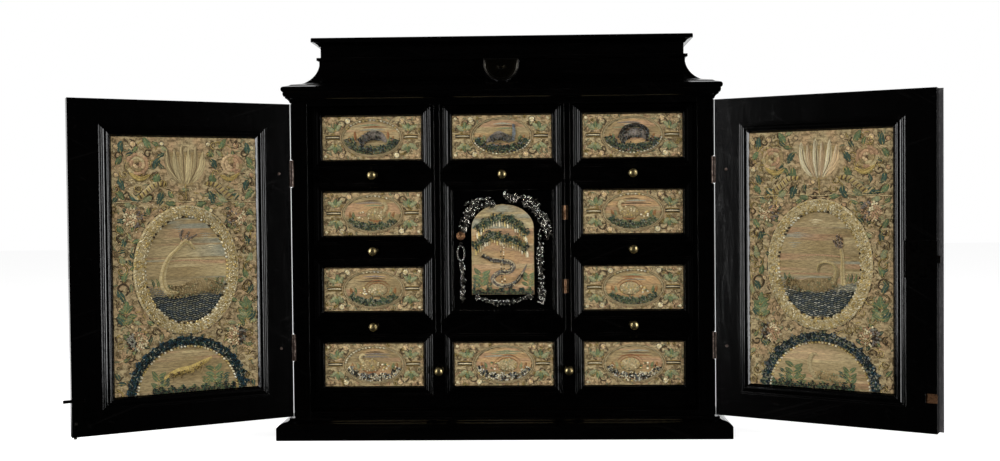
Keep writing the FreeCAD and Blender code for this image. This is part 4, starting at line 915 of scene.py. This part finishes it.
# --- Needlework of the two doors ---------------------------------------------------------------
# Each door panel has an open tulip between roses at the head, an oval framed in purl with a water
# bird in the middle and half an oval at the foot under dark looped pile. Scrolls fill the rest.
def door_panel(side, seed):
    node = side + "_door_embroidery"
    place, width, height = panels_on(node)[0]
    cloth = ground(side + "_door_silk", place, width, height, node, side + "_door", seed)
    work = Needlework(width, height, seed)
    way = 1 if side == "left" else -1
    half_w, half_h = width / 2, height / 2
    oval_z, oval_w, oval_h = half_h - 163, 50, 66
    foot_z, foot_w, foot_h = -half_h - 2, 60, 58

    def free(x, z):
        in_oval = (x / (oval_w + 17)) ** 2 + ((z - oval_z) / (oval_h + 17)) ** 2 < 1
        in_foot = (x / (foot_w + 15)) ** 2 + ((z - foot_z) / (foot_h + 15)) ** 2 < 1
        in_tulip = abs(x) < 27 and z > half_h - 60
        return not (in_oval or in_foot or in_tulip)

    scatter(work, free, 6.5, [("stem", "brown"), ("stem", "fawn"), ("stem", "gold"),
                              ("knot", "straw"), ("stem", "fawn"), ("curl", "fawn"),
                              ("stem", "sage"), ("knot", "cream"), ("stem", "straw")], 0.9)
    scatter(work, free, 13, [("leaf", "teal"), ("leaf", "green"), ("curl", "gold"),
                             ("curl", "brown"), ("curl", "gilt"), ("spangle", "blush"),
                             ("leaf", "sage")], 0.9)

    # head: tulip between roses, horns and dark leaves, over a seam in the ground
    # The right door's tulip is stitched in paler silks than the left's: painted light.
    petals = ("sand", "straw", "straw") if side == "left" else ("cream", "blush", "white")
    tulip(work, 0, half_h - 58, 47, 50, petals)
    work.cord([(0, half_h - 58), (0.5, half_h - 76)], 0.9, "gold")
    work.band([(-half_w, half_h - 80), (-30, half_h - 77), (0, half_h - 79), (30, half_h - 77),
               (half_w, half_h - 80)], (0.7,) * 3, "straw", 1.0, edge=0.5)
    for hand in (-1, 1):
        for u, v, long, turn, silk in ((76, 20, 15, 95, "teal"), (86, 34, 13, 120, "green"),
                                       (42, 14, 15, 60, "green"), (30, 26, 15, 300, "teal"),
                                       (32, 44, 17, 280, "green"), (78, 52, 14, 250, "teal"),
                                       (86, 66, 14, 230, "green"), (66, 70, 15, 210, "teal"),
                                       (28, 66, 17, 290, "teal"), (40, 72, 14, 330, "sage"),
                                       (12, 82, 13, 10, "green"), (74, 82, 13, 200, "sage")):
            leaf(work, hand * min(u, half_w - 5), half_h - v, long,
                 turn if hand > 0 else 180 - turn, silk, long * 0.27, 1.9)
        rose(work, hand * 57, half_h - 33, 14)
        work.band([(hand * 42, half_h - 46), (hand * 54, half_h - 51), (hand * 67, half_h - 43)],
                  (0.6, 2.6, 3.4, 2.6, 0.6), "gold", 3.0, edge=0.7)
        work.cord([(hand * 45, half_h - 46), (hand * 54, half_h - 49.5), (hand * 64, half_h - 44)],
                  0.9, "gilt", lift=2.4)
        horn = [(hand * 26, half_h - 57), (hand * 36, half_h - 58), (hand * 46, half_h - 66),
                (hand * 57, half_h - 75), (hand * 64, half_h - 69)]
        work.band(horn, (1.6, 4.4, 4.4, 3.8, 2.8, 1.0), "straw", 3.6, edge=0.8)
        work.cord(horn[:-1], 3.0, "gold", 1.35, rise=1.4, lift=2.4, other="brown")
        for u, v, radius in ((62, 9, 3.6), (84, 12, 3.0), (88, 46, 3.0), (28, 8, 2.6),
                             (62, 98, 2.8), (30, 90, 2.6)):
            spangle(work, hand * min(u, half_w - 5), half_h - v, radius,
                    work.chance.choice(("blush", "cream", "rose")))
        knotted(work, hand * 62, half_h - 98, 12.5, ("blush", "cream", "rose", "fawn"),
                ("mauve", "fawn", "brown", "rose"), -hand)
        knotted(work, hand * 60, half_h - 248, 12.5, ("cream", "rose", "blush", "fawn"),
                ("mauve", "brown", "grey", "umber"), hand)
        for v, size, turn, silk in ((122, 8, 30, "brown"), (140, 9, 200, "fawn"),
                                    (162, 8, 80, "gold"), (184, 9, 300, "brown"),
                                    (204, 7, 120, "fawn")):
            curl(work, hand * (half_w - 10), half_h - v, size, turn, silk,
                 hand if v % 4 else -hand, 0.9)
        for v, long, turn, silk in ((118, 13, 60, "green"), (134, 12, 100, "teal"),
                                    (156, 14, 70, "sage"), (176, 13, 110, "green"),
                                    (196, 14, 60, "teal"), (214, 16, 100, "green"),
                                    (224, 14, 140, "sage"), (228, 14, 50, "teal")):
            leaf(work, hand * (half_w - 12), half_h - v, long, turn if hand > 0 else 180 - turn,
                 silk, rise=1.6)
        shrub(work, hand * 72, half_h - 230, 24, "green")

    # middle: the bird on dark water, in a broad frame of gilt purl with a row of silvered beads
    inner_w, inner_h = oval_w - 1, oval_h - 1
    room = oval_room(inner_w, inner_h)
    work.field(0, oval_z, room, -inner_h * 0.5, inner_h * 0.98,
               ["sand", "fawn", "straw", "sand", "mist", "rose", "sand"])
    work.band([(-34, oval_z + 10), (0, oval_z + 12), (38, oval_z + 9)], (0.4, 1.2, 1.4, 0.5),
              "rose", 0.5, 0.3)
    # Silvered purl only in the right door's water makes it brighter: painted light.
    waves(work, 0, oval_z, room, -inner_h + 2, lambda u: -28 + 11 * (u / inner_w) ** 2,
          ["steel", "mist", "steel", "grey"] + ["silver"] * (way < 0))
    for u, silk in ((-39, "teal"), (-34, "green"), (36, "teal"), (41, "green"), (33, "sage")):
        leaf(work, u, oval_z - 22, 13, 90 - u * 0.4, silk, 2.2)
    if side == "left":
        bird = [([(-22, -26), (-6, -26), (12, -21), (26, -20), (41, -25)],
                 (3.0, 6.5, 10.0, 9.0, 2.0)),
                ([(-12, -28), (-24, -25), (-29, -14), (-28, -1), (-22, 14), (-13, 24), (-5, 32)],
                 (3, 4.6, 4.2, 3.6, 3, 2.6, 2.4)),
                ([(-8, 30), (-1, 35), (5, 31), (10, 25)], (2.0, 3.8, 2.6, 0.6))]
        plumes = [[(-5, 35), (-7, 43), (-5, 50)], [(-2, 36), (1, 43), (4, 48)],
                  [(1, 36), (8, 41), (13, 43)]]
        clouds = [(-22, 40, 9, "blush"), (-8, 52, 8, "mist"), (24, 44, 10, "mist"),
                  (30, 30, 7, "cream")]
    else:
        bird = [([(-39, -20), (-26, -25), (-9, -25), (8, -24), (20, -19)],
                 (1.5, 5.5, 9.0, 9.0, 5.0)),
                ([(15, -22), (21, -10), (17, 0), (8, 3), (0, 0), (-2, -8)],
                 (4.4, 3.8, 3.0, 2.6, 2.8, 1.2)),
                ([(29, -24), (28, -6), (28, 8), (26, 20)], (3.4, 2.6, 2.2, 2.0))]
        plumes = [[(25, 20), (20, 25), (17, 31)], [(26, 20), (27, 28), (25, 35)],
                  [(26, 20), (22, 30), (22, 38)]]
        clouds = [(-4, 54, 9, "cream"), (6, 48, 7, "straw"), (-26, 38, 12, "mist"),
                  (-30, 26, 10, "mist")]
    for part, (line, halves) in enumerate(bird):
        line = [(u, oval_z + v) for u, v in line]
        work.band(line, [half * 1.1 for half in halves], "straw" if part else "fawn", 3.6,
                  edge=1.2)
        if part:
            work.cord(line, 1.2, "straw", rise=0.8, lift=3.3, other="gold")
        else:
            work.pile(line, -0.75 * max(halves), 0.8 * max(halves),
                      ["straw", "fawn", "sage", "fawn"], 1.6, 4.0, 2.6)
    for line in plumes:
        line = [(u, oval_z + v) for u, v in line]
        work.band(line, (0.7, 2.2, 1.4, 0.4), "mauve", 2.0, edge=0.6)
        work.pile(line, -1.2, 1.6, ["rose", "mauve", "brown", "blush"], 1.2, 2.8, 1.8)
    for u, v, half, silk in clouds:
        for up in (0, 2.6, 5.2):
            work.band([(u - half + up, oval_z + v - up), (u, oval_z + v - up + 0.8),
                       (u + half - up * 1.4, oval_z + v - up)], (0.3, 1.1, 0.3), silk, 0.5, 0.35,
                      ribs=2)
    frame_line = ring_of(0, oval_z, oval_w, oval_h, 360, 0, 72)
    work.band(ring_of(0, oval_z, oval_w + 6.5, oval_h + 6.5, 0, 360, 60), (7.6,) * 3, "straw", 3.0,
              ribs=6, edge=1.2)
    work.pile(frame_line, 2.6, 12.4, ["gilt", "straw", "cream", "white", "cream", "gold"], 1.5,
              3.9, 1.3, lean=0.7)
    for x, z in ring_of(0, oval_z, oval_w - 0.2, oval_h - 0.2, 0, 360, 84)[:-1]:
        silk = work.chance.choice(["silver", "white", "cream", "gilt", "gold", "umber"])
        work.bead(x, z, 1.6, 1.5, 0, silk, 2.8, 0.6)

    # foot: half an oval under dark looped pile, a beast or a bird among shrubs
    work.field(0, foot_z, oval_room(foot_w, foot_h), 4, foot_h * 0.97,
               ["sand", "blush", "fawn", "straw", "rose", "sand"])
    foot_line = ring_of(0, foot_z, foot_w, foot_h, 178, 2, 60)
    work.band(ring_of(0, foot_z, foot_w + 7.5, foot_h + 7.5, 178, 2, 50), (5.0,) * 3, "night", 1.4,
              ribs=5)
    # The right door's pile takes paler steel, mist and grey loops, painted light, and sage, its own
    # hue.
    flecks_and_painted_light = ["mist"] if side == "left" else ["steel", "sage", "mist", "grey", "steel"]
    work.pile(foot_line, 3.2, 12.5, ["sea", "night", "teal", "blue", "sea"] + flecks_and_painted_light,
              1.6, 3.2, 1.7, 0.22)
    for x, z in ring_of(0, foot_z, foot_w + 0.4, foot_h + 0.4, 176, 4, 44):
        silk = work.chance.choice(["gilt", "silver", "cream", "white", "gold"])
        work.bead(x, z, 1.7, 1.5, 0, silk, 2.6, 0.4)
    if side == "left":
        work.band([(-30, foot_z + 20), (-14, foot_z + 27), (4, foot_z + 30), (18, foot_z + 37),
                   (29, foot_z + 43)], (1.0, 4.0, 5.4, 5.2, 3.8, 1.0), "gold", 3.4, edge=1.0)
        work.pile([(-22, foot_z + 24), (2, foot_z + 29), (20, foot_z + 38)], -2.5, 2.5,
                  ["gold", "fawn", "brown", "bronze"], 1.3, 4.2, 1.8)
        for u, v in ((-16, 22), (-5, 24), (9, 27), (18, 31)):
            work.band([(u, foot_z + v + 3), (u - 3, foot_z + v - 6)], (1.6, 1.2, 1.8), "fawn", 2.4,
                      edge=0.7)
    else:
        work.band([(-6, foot_z + 19), (9, foot_z + 18), (24, foot_z + 15), (33, foot_z + 13)],
                  (3.4, 7.2, 6.2, 1.0), "fawn", 3.2, edge=1.2)
        work.pile([(0, foot_z + 19), (24, foot_z + 15)], -4, 4.5, ["straw", "fawn", "sage"], 1.4,
                  4.0, 2.6)
        work.band([(-4, foot_z + 15), (-11, foot_z + 25), (-12, foot_z + 36), (-7, foot_z + 44),
                   (-2, foot_z + 42)], (3.6, 3.2, 3.0, 3.2, 1.0), "straw", 3.4, edge=1.1)
    for u, v, tall, silk in ((-36, 8, 22, "green"), (-28, 8, 16, "teal"), (32, 8, 26, "green"),
                             (43, 6, 18, "teal"), (22, 6, 14, "green")):
        shrub(work, u * way, foot_z + v, tall, silk)
    from_left, from_right = (18, 2) if side == "left" else (2, 18)
    work.pile([(from_left - foot_w, foot_z + 3), (foot_w - from_right, foot_z + 3)], 0, 6,
              ["teal", "night", "green", "night"], 1.6, 2.4, 1.6, 0.3)
    return work.sew(side + "_door_needlework", place, side + "_door")


door_panel("left", 11)
door_panel("right", 23)


# --- Needlework of the drawers -----------------------------------------------------------------
# A level oval with a beast or a bird over dark pile fills each drawer panel. Bars of wrapped
# thread hold it at the ends, and sprays of leaves and flat spangles sit in the corners.
pictures = {"upper_left_drawer": ("beast", 20, 150, "dark"),
            "upper_middle_drawer": ("heron", 195, 345, "dark"),
            "upper_right_drawer": ("serpent", 215, 352, "dark"),
            "middle_left_drawer": ("bird", 60, 100, "green"),
            "middle_right_drawer": ("bird", 70, 115, "green"),
            "lower_left_drawer": ("mound", 80, 110, "green"),
            "lower_right_drawer": ("mound", 60, 130, "green"),
            "bottom_drawer_left": ("bird", 70, 172, "frost"),
            "bottom_drawer_middle": ("mound", 210, 240, "frost"),
            "bottom_drawer_right": ("mound", 250, 280, "frost")}
heaps = {"dark": (188, 352, 8.5, ["teal", "night", "teal", "green", "night", "sage", "steel"]),
         "green": (206, 334, 7, ["green", "teal", "sage", "night", "green", "mist", "teal"]),
         "frost": (192, 348, 6, ["night", "steel", "silver", "cream", "night", "white", "mist"])}


def drawer_panel(name, place, width, height, node, body, seed):
    cloth = ground(name + "_silk", place, width, height, node, body, seed)
    work = Needlework(width, height, seed)
    picture, begin, end, heap = pictures[name]
    way = 1 if seed % 2 else -1
    half_w, half_h = width / 2, height / 2
    oval_w, oval_h, lift = width * 0.285, height * 0.4, 0.5

    def free(x, z):
        on_bar = abs(z) < 5 and abs(x) > oval_w
        return (x / (oval_w + 4)) ** 2 + ((z - lift) / (oval_h + 3)) ** 2 > 1 and not on_bar

    scatter(work, free, 5, [("stem", "brown"), ("stem", "fawn"), ("curl", "gold"),
                            ("knot", "cream"), ("stem", "rose"), ("stem", "sage"),
                            ("knot", "blush"), ("stem", "straw"), ("knot", "cream")], 1.0)
    for hand in (-1, 1):
        for up in (-1, 1):
            x, z = hand * half_w * 0.74, up * half_h * 0.5
            curl(work, hand * half_w * 0.6, up * half_h * 0.62, 6.5, 90 - 90 * hand, "brown",
                 hand * up, 0.6)
            for turn, long, silk in ((90 - 60 * hand, 13, "sage"), (90, 11, "green"),
                                     (90 + 45 * hand, 12, "sage")):
                leaf(work, x, z - up * 5, long, turn * up, silk, 3.3, 1.7)
            curl(work, hand * (half_w - 6), up * half_h * 0.3, 4.6, 90 + 60 * hand, "fawn",
                 -hand * up, 0.7)
            spangle(work, hand * (half_w * work.chance.uniform(0.46, 0.66)), up * (half_h - 5.2),
                    3.6, work.chance.choice(("cream", "blush", "cream", "blush")))
            work.bead(hand * (half_w - 4), up * (half_h - 4), 2.2, 2.0, 0,
                      work.chance.choice(("blush", "cream")), 1.6, sides=10)
        bar = [(hand * (oval_w + 5), 0.8), (hand * (half_w - 14), 1.2), (hand * (half_w - 4), 0.8)]
        # The umber band under the bar is painted shade round it.
        work.band(bar, (2.8, 3.4, 2.4), "umber", 0.8)
        work.band(bar, (0.4, 1.0, 0.8, 0.3), "cream", 2.2, 0.4)
        for off in (-2.4, 2.5):
            work.band([(x, z + off) for x, z in bar], (0.5, 0.8, 0.5), "bronze", 1.6, 0.2)
    room = oval_room(oval_w - 1, oval_h - 0.6)
    work.field(0, lift, room, -oval_h * 0.93, oval_h * 0.96,
               ["orange", "fawn", "sand", "fawn", "rose"], 0.75)
    for row in (0.72, 0.6, 0.44):
        span = room(oval_h * row) * work.chance.uniform(0.4, 0.7)
        shift = work.chance.uniform(-6, 6)
        work.band([(shift - span, lift + oval_h * row), (shift, lift + oval_h * row + 0.8),
                   (shift + span, lift + oval_h * row)], (0.4, 1.4, 0.4),
                  work.chance.choice(("brown", "mist", "mauve", "rust", "sage")), 0.6, 0.4)

    # dark looped pile round the foot of the oval, and what lies on it
    left, right, deep, loops = heaps[heap]
    work.pile(ring_of(0, lift, oval_w - 1.5, oval_h - 1.2, left, right, 40), 0, deep, loops, 1.5,
              2.4, 1.8, 0.25)
    work.pile([(-oval_w * 0.45, lift - oval_h * 0.64), (oval_w * 0.45, lift - oval_h * 0.64)], -2,
              deep * 0.4, loops, 1.5, 2.4, 1.8, 0.4)
    if picture in ("beast", "serpent"):
        back = [(-19 * way, lift - 6), (-11 * way, lift + 2), (3 * way, lift + 2),
                (16 * way, lift - 7)]
        work.band(back, (2.0, 6.0, 7.4, 5.4, 1.5), "mauve", 3.2, edge=0.9)
        work.pile(back[1:], -5, 5, ["mauve", "steel", "umber", "grey", "night"], 1.3, 4.2, 1.7)
        if picture == "serpent":
            coil = [(17 * way, lift - 3), (10 * way, lift + 9), (-6 * way, lift + 13),
                    (-19 * way, lift + 6), (-18 * way, lift - 8)]
            work.band(coil, (2.4, 2.8, 2.8, 2.4, 2.0), "umber", 3.6, edge=0.6)
            work.pile(coil, -1.6, 1.6, ["steel", "umber", "mauve", "night"], 1.3, 4.4, 1.8)
        else:
            for u in (-22, 21):
                work.band([(u * way, lift - 3), ((u + 1) * way, lift + 8)], (1.4, 2.2, 1.0),
                          "rust", 2.0, edge=0.7)
    elif picture == "heron":
        work.band([(-20 * way, lift - 7), (-4 * way, lift + 1), (14 * way, lift - 6)],
                  (2.0, 7.0, 2.0), "mauve", 3.0, edge=0.9)
        work.pile([(-14 * way, lift - 4), (-2 * way, lift), (12 * way, lift - 4)], -4, 5,
                  ["mauve", "steel", "grey", "umber"], 1.3, 4.0, 1.7)
        neck = [(14 * way, lift - 6), (16 * way, lift + 5), (15 * way, lift + 16)]
        work.band(neck, (2.4, 2.6, 1.6), "steel", 3.2, edge=0.7)
        work.pile(neck, -1.4, 1.4, ["mauve", "steel", "grey"], 1.1, 3.8, 1.6)
    else:
        middle, silk = -5 * way, "sand" if picture == "mound" else "fawn"
        work.bead(middle, lift - 1, 14.5, 10, 0, "brown", 1.4, sides=18)
        work.bead(middle, lift - 1, 13.5, 9, 0, silk, 4.0, sides=18)
        knots = 34
        for seed in range(knots):
            away, turn = math.sqrt((seed + 0.5) / knots), seed * golden_turn
            work.bead(middle + 12.5 * away * math.cos(turn), lift - 1 + 8 * away * math.sin(turn),
                      1.7, 1.1, turn,
                      work.chance.choice(("straw", "cream", "sage", silk, silk, "gold")), 1.0,
                      3.7 - 2.4 * away * away)
        if picture == "bird":
            neck = [(middle - 9 * way, lift + 2), (middle - 13 * way, lift + 8),
                    (middle - 10 * way, lift + 13), (middle - 5 * way, lift + 11)]
            work.band(neck, (3.0, 2.4, 2.6, 0.8), "straw", 3.4, edge=0.9)
            work.band([(middle - 8 * way, lift - 8), (middle, lift - 10),
                       (middle + 9 * way, lift - 8)], (0.8, 2.0, 0.8), "rust", 2.6, edge=0.5)
        else:
            for size in (14, 18):
                work.band(ring_of(middle, lift - 3, size, size * 0.8, 25, 155, 10),
                          (0.5, 1.1, 0.5), "rust", 1.4, edge=0.5)
        for _ in range(9):
            work.bead(middle + way * work.chance.uniform(13, 24),
                      lift + work.chance.uniform(-7, 2), 1.7, 1.3, 0,
                      work.chance.choice(("cream", "white", "gilt", "blush", "green")), 2.6)
    for u, silk in ((-26, "rust"), (27, "rust"), (-21, "sage"), (23, "green")):
        leaf(work, u * way, lift - 7, 10, 90 - u * 0.6 * way, silk, 2.2, 1.7)
    for out, silk in ((1.5, "cream"), (3.6, "blush")):
        work.cord(ring_of(0, lift, oval_w + out, oval_h + out * 0.7, 0, 360, 48), 0.85, silk,
                  rise=1.8, other="straw")
    for x, z in ring_of(0, lift, oval_w + 0.8, oval_h + 0.6, begin, end, (end - begin) // 7):
        silk = work.chance.choice(["silver", "white", "gilt", "cream"])
        work.bead(x, z, 1.3, 1.2, 0, silk, 3.2, 0.3)
    return work.sew(name + "_needlework", place, body)


for order, drawer in enumerate(drawers):
    panels = panels_on(drawer + "_embroidery")
    for index, (place, width, height) in enumerate(panels):
        label = drawer if len(panels) == 1 else f"{drawer}_{('left', 'middle', 'right')[index]}"
        drawer_panel(label, place, width, height, drawer + "_embroidery", drawer,
                     31 + 7 * order + index)


# --- Needlework of the cupboard door -----------------------------------------------------------
# The arched panel shows two hanging clouds of dark loops with pale drops under them, and a coiled
# serpent over a green bank.
place, width, height = panels_on("cupboard_embroidery")[0]
arch_rise = 31.5
spring = height / 2 - arch_rise


def in_arch(x, z):
    if z <= spring:
        return x, z
    room = math.sqrt(max(0.0, 1 - ((z - spring) / arch_rise) ** 2)) * width / 2
    return max(-room, min(room, x)), z


cloth = ground("cupboard_silk", place, width, height, "cupboard_embroidery", "cupboard_door", 71,
               in_arch)
work = Needlework(width, height, 71, in_arch)
work.field(0, 0, lambda row: width / 2 - 0.6, -height / 2 + 1, spring,
           ["orange", "blush", "orange", "sand", "rose"], 0.9)
work.field(0, 0, lambda row: in_arch(width, row)[0] - 0.4, spring, height / 2 - 1,
           ["sand", "mist", "straw"], 0.9)
for cloud in ([(-33, 25), (-25, 33), (-15, 38), (-4, 41), (10, 38), (22, 29), (31, 18)],
              [(-37, 3), (-26, 12), (-14, 19), (0, 15), (16, 10), (32, 0)]):
    work.band(cloud, (1.0, 4.2, 5.4, 5.0, 4.2, 1.0), "teal", 1.4)
    work.pile(cloud, -5.0, 6.0, ["night", "teal", "green", "sage", "gold", "night", "mist"], 1.5,
              2.8, 1.6, 0.25)
    for x, z in smooth_line([(x, z - 4) for x, z in cloud], 3.4):
        drop = work.chance.uniform(5, 8.5)
        work.band([(x, z + 1), (x + 0.3, z - drop)], (0.7, 1.3, 0.9),
                  work.chance.choice(["cream", "straw", "white", "gilt"]), 2.2, edge=0.7)
for x, z in smooth_line([(0, 9), (-1, -12), (0, -30), (1, -48)], 2.6):
    for across in (-1.9, 1.9):
        work.bead(x + across, z, 1.2, 1.0, 0,
                  work.chance.choice(["gilt", "umber", "straw", "white", "brown"]), 1.8)
serpent = [(-27, -7), (-15, -13), (-3, -15), (9, -17), (13.5, -23), (8, -29), (-4, -30),
           (-13, -37), (-9, -45), (4, -47.5), (17, -42), (25, -31), (31, -20)]
work.band(serpent, (0.8, 2.8, 3.3, 3.5, 3.5, 3.5, 3.4, 3.2, 2.8, 2.0, 0.8), "mauve", 2.8, edge=0.8)
for side in (-2.3, 2.3):
    work.band([(x + 0.5 * side, z + 0.8 * side) for x, z in serpent[1:-1]], (0.4, 0.7, 0.7, 0.4),
              "cream", 0.9, 2.0)
work.pile(serpent[:-1], -1.5, 1.6, ["umber", "mauve", "cream", "steel", "umber"], 1.5, 3.8, 2.0,
          lean=0.2)
for x, z, tall, silk in ((-28, -50, 26, "green"), (-34, -52, 16, "teal"), (33, -50, 22, "green"),
                         (38, -51, 14, "sage"), (-18, -52, 10, "teal")):
    shrub(work, x, z, tall, silk)
work.pile([(1 - width / 2, 1.5 - height / 2), (width / 2 - 1, 1.5 - height / 2)], 0, 6,
          ["night", "teal", "green", "night"], 1.5, 2.4, 1.5, 0.35)
work.sew("cupboard_needlework", place, "cupboard_door")


# --- Cast mounts of the cupboard door ----------------------------------------------------------
# Foliage cast thin in silver, chased and pinned round the arch: a spray over each shoulder, a
# festoon down each side, a swag below, a copper rosette and the keyhole plate. The hollows have
# gone black.
blackened_silver = metal_finish("blackened_silver", tint(132, 127, 116), tint(14, 13, 13), 0.75)
rubbed_silver = metal_finish("rubbed_silver", tint(250, 246, 236), tint(150, 142, 128), 0.1)
casting_room = (600, 600)
casting = Needlework(*casting_room, 91)


def pin_on(casting, name, *finishes):
    """Puts one casting on the cupboard door, in the place of the plain mounts."""
    piece = casting.sew(name, place, "cupboard_door", finishes)
    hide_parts("cupboard_mounts")


def foliage(line, half, count, small=1.0):
    """Chased leaves and berries on both sides of a rib."""
    path = smooth_line(line, 1.5)
    casting.band(line, (half * 0.3, half * 0.4, half * 0.25), "grey", 1.2, 0.2)
    for _ in range(count):
        x, z = casting.chance.choice(path)
        turn = casting.chance.uniform(0, 2 * math.pi)
        reach = half * casting.chance.uniform(0.45, 1.05)
        tip = (x + reach * math.cos(turn), z + reach * math.sin(turn))
        bend = (x + reach * 0.6 * math.cos(turn + 0.6), z + reach * 0.6 * math.sin(turn + 0.6))
        rise = casting.chance.uniform(1.0, 2.6)
        casting.band([(x, z), bend, tip], (0.4 * small, 1.1 * small, 1.0 * small, 0.2), "grey",
                     rise, 0.4, ribs=3, step=1)
        if casting.chance.random() < 0.4:
            casting.band([bend, tip], (0.15, 0.42, 0.2), "silver", 0.7, 0.2 + rise, ribs=2, step=1)
        if casting.chance.random() < 0.6:
            casting.bead(tip[0], tip[1], 1.0, 0.8, turn, casting.chance.choice(("silver", "grey")),
                         2.2, 0.8)


foliage([(-51, 26), (-47, 40), (-39, 52), (-28, 61), (-15, 60)], 7.5, 170)
foliage([(-46, 60), (-36, 62), (-26, 66)], 4.0, 26)
foliage([(7, 68), (24, 64), (40, 54), (52, 40), (58, 28), (60, 16)], 8.0, 220)
foliage([(28, 66), (38, 63), (48, 58)], 5.0, 34)
foliage([(48, 26), (48, 6)], 2.2, 26, 0.8)
foliage([(49, 6), (48, -20), (50, -45), (50, -68)], 5.6, 190)
foliage([(-53, -18), (-52, -40), (-53, -66)], 4.2, 90, 0.8)
foliage([(-35, -61), (-18, -67), (0, -70), (18, -67), (35, -61)], 4.4, 130, 0.8)
pin_on(casting, "cupboard_silver_mounts", blackened_silver, rubbed_silver)

casting = Needlework(*casting_room, 92)
rose(casting, -54.6, 18, 5.6, ("rose",))
pin_on(casting, "cupboard_copper_rosette", worn_copper)

casting = Needlework(*casting_room, 93)
key_way = (-54.3, -4.5)
casting.cord(ring_of(*key_way, 4.6, 9.5, 0, 360, 22), 1.5, "silver", rise=1.8, other="grey")
for turn in (90, 270):
    casting.bead(key_way[0], key_way[1] + 12.5 * math.sin(math.radians(turn)), 2.2, 1.8, 0, "grey",
                 2.0, sides=10)
pin_on(casting, "cupboard_keyhole_plate", blackened_silver, rubbed_silver)
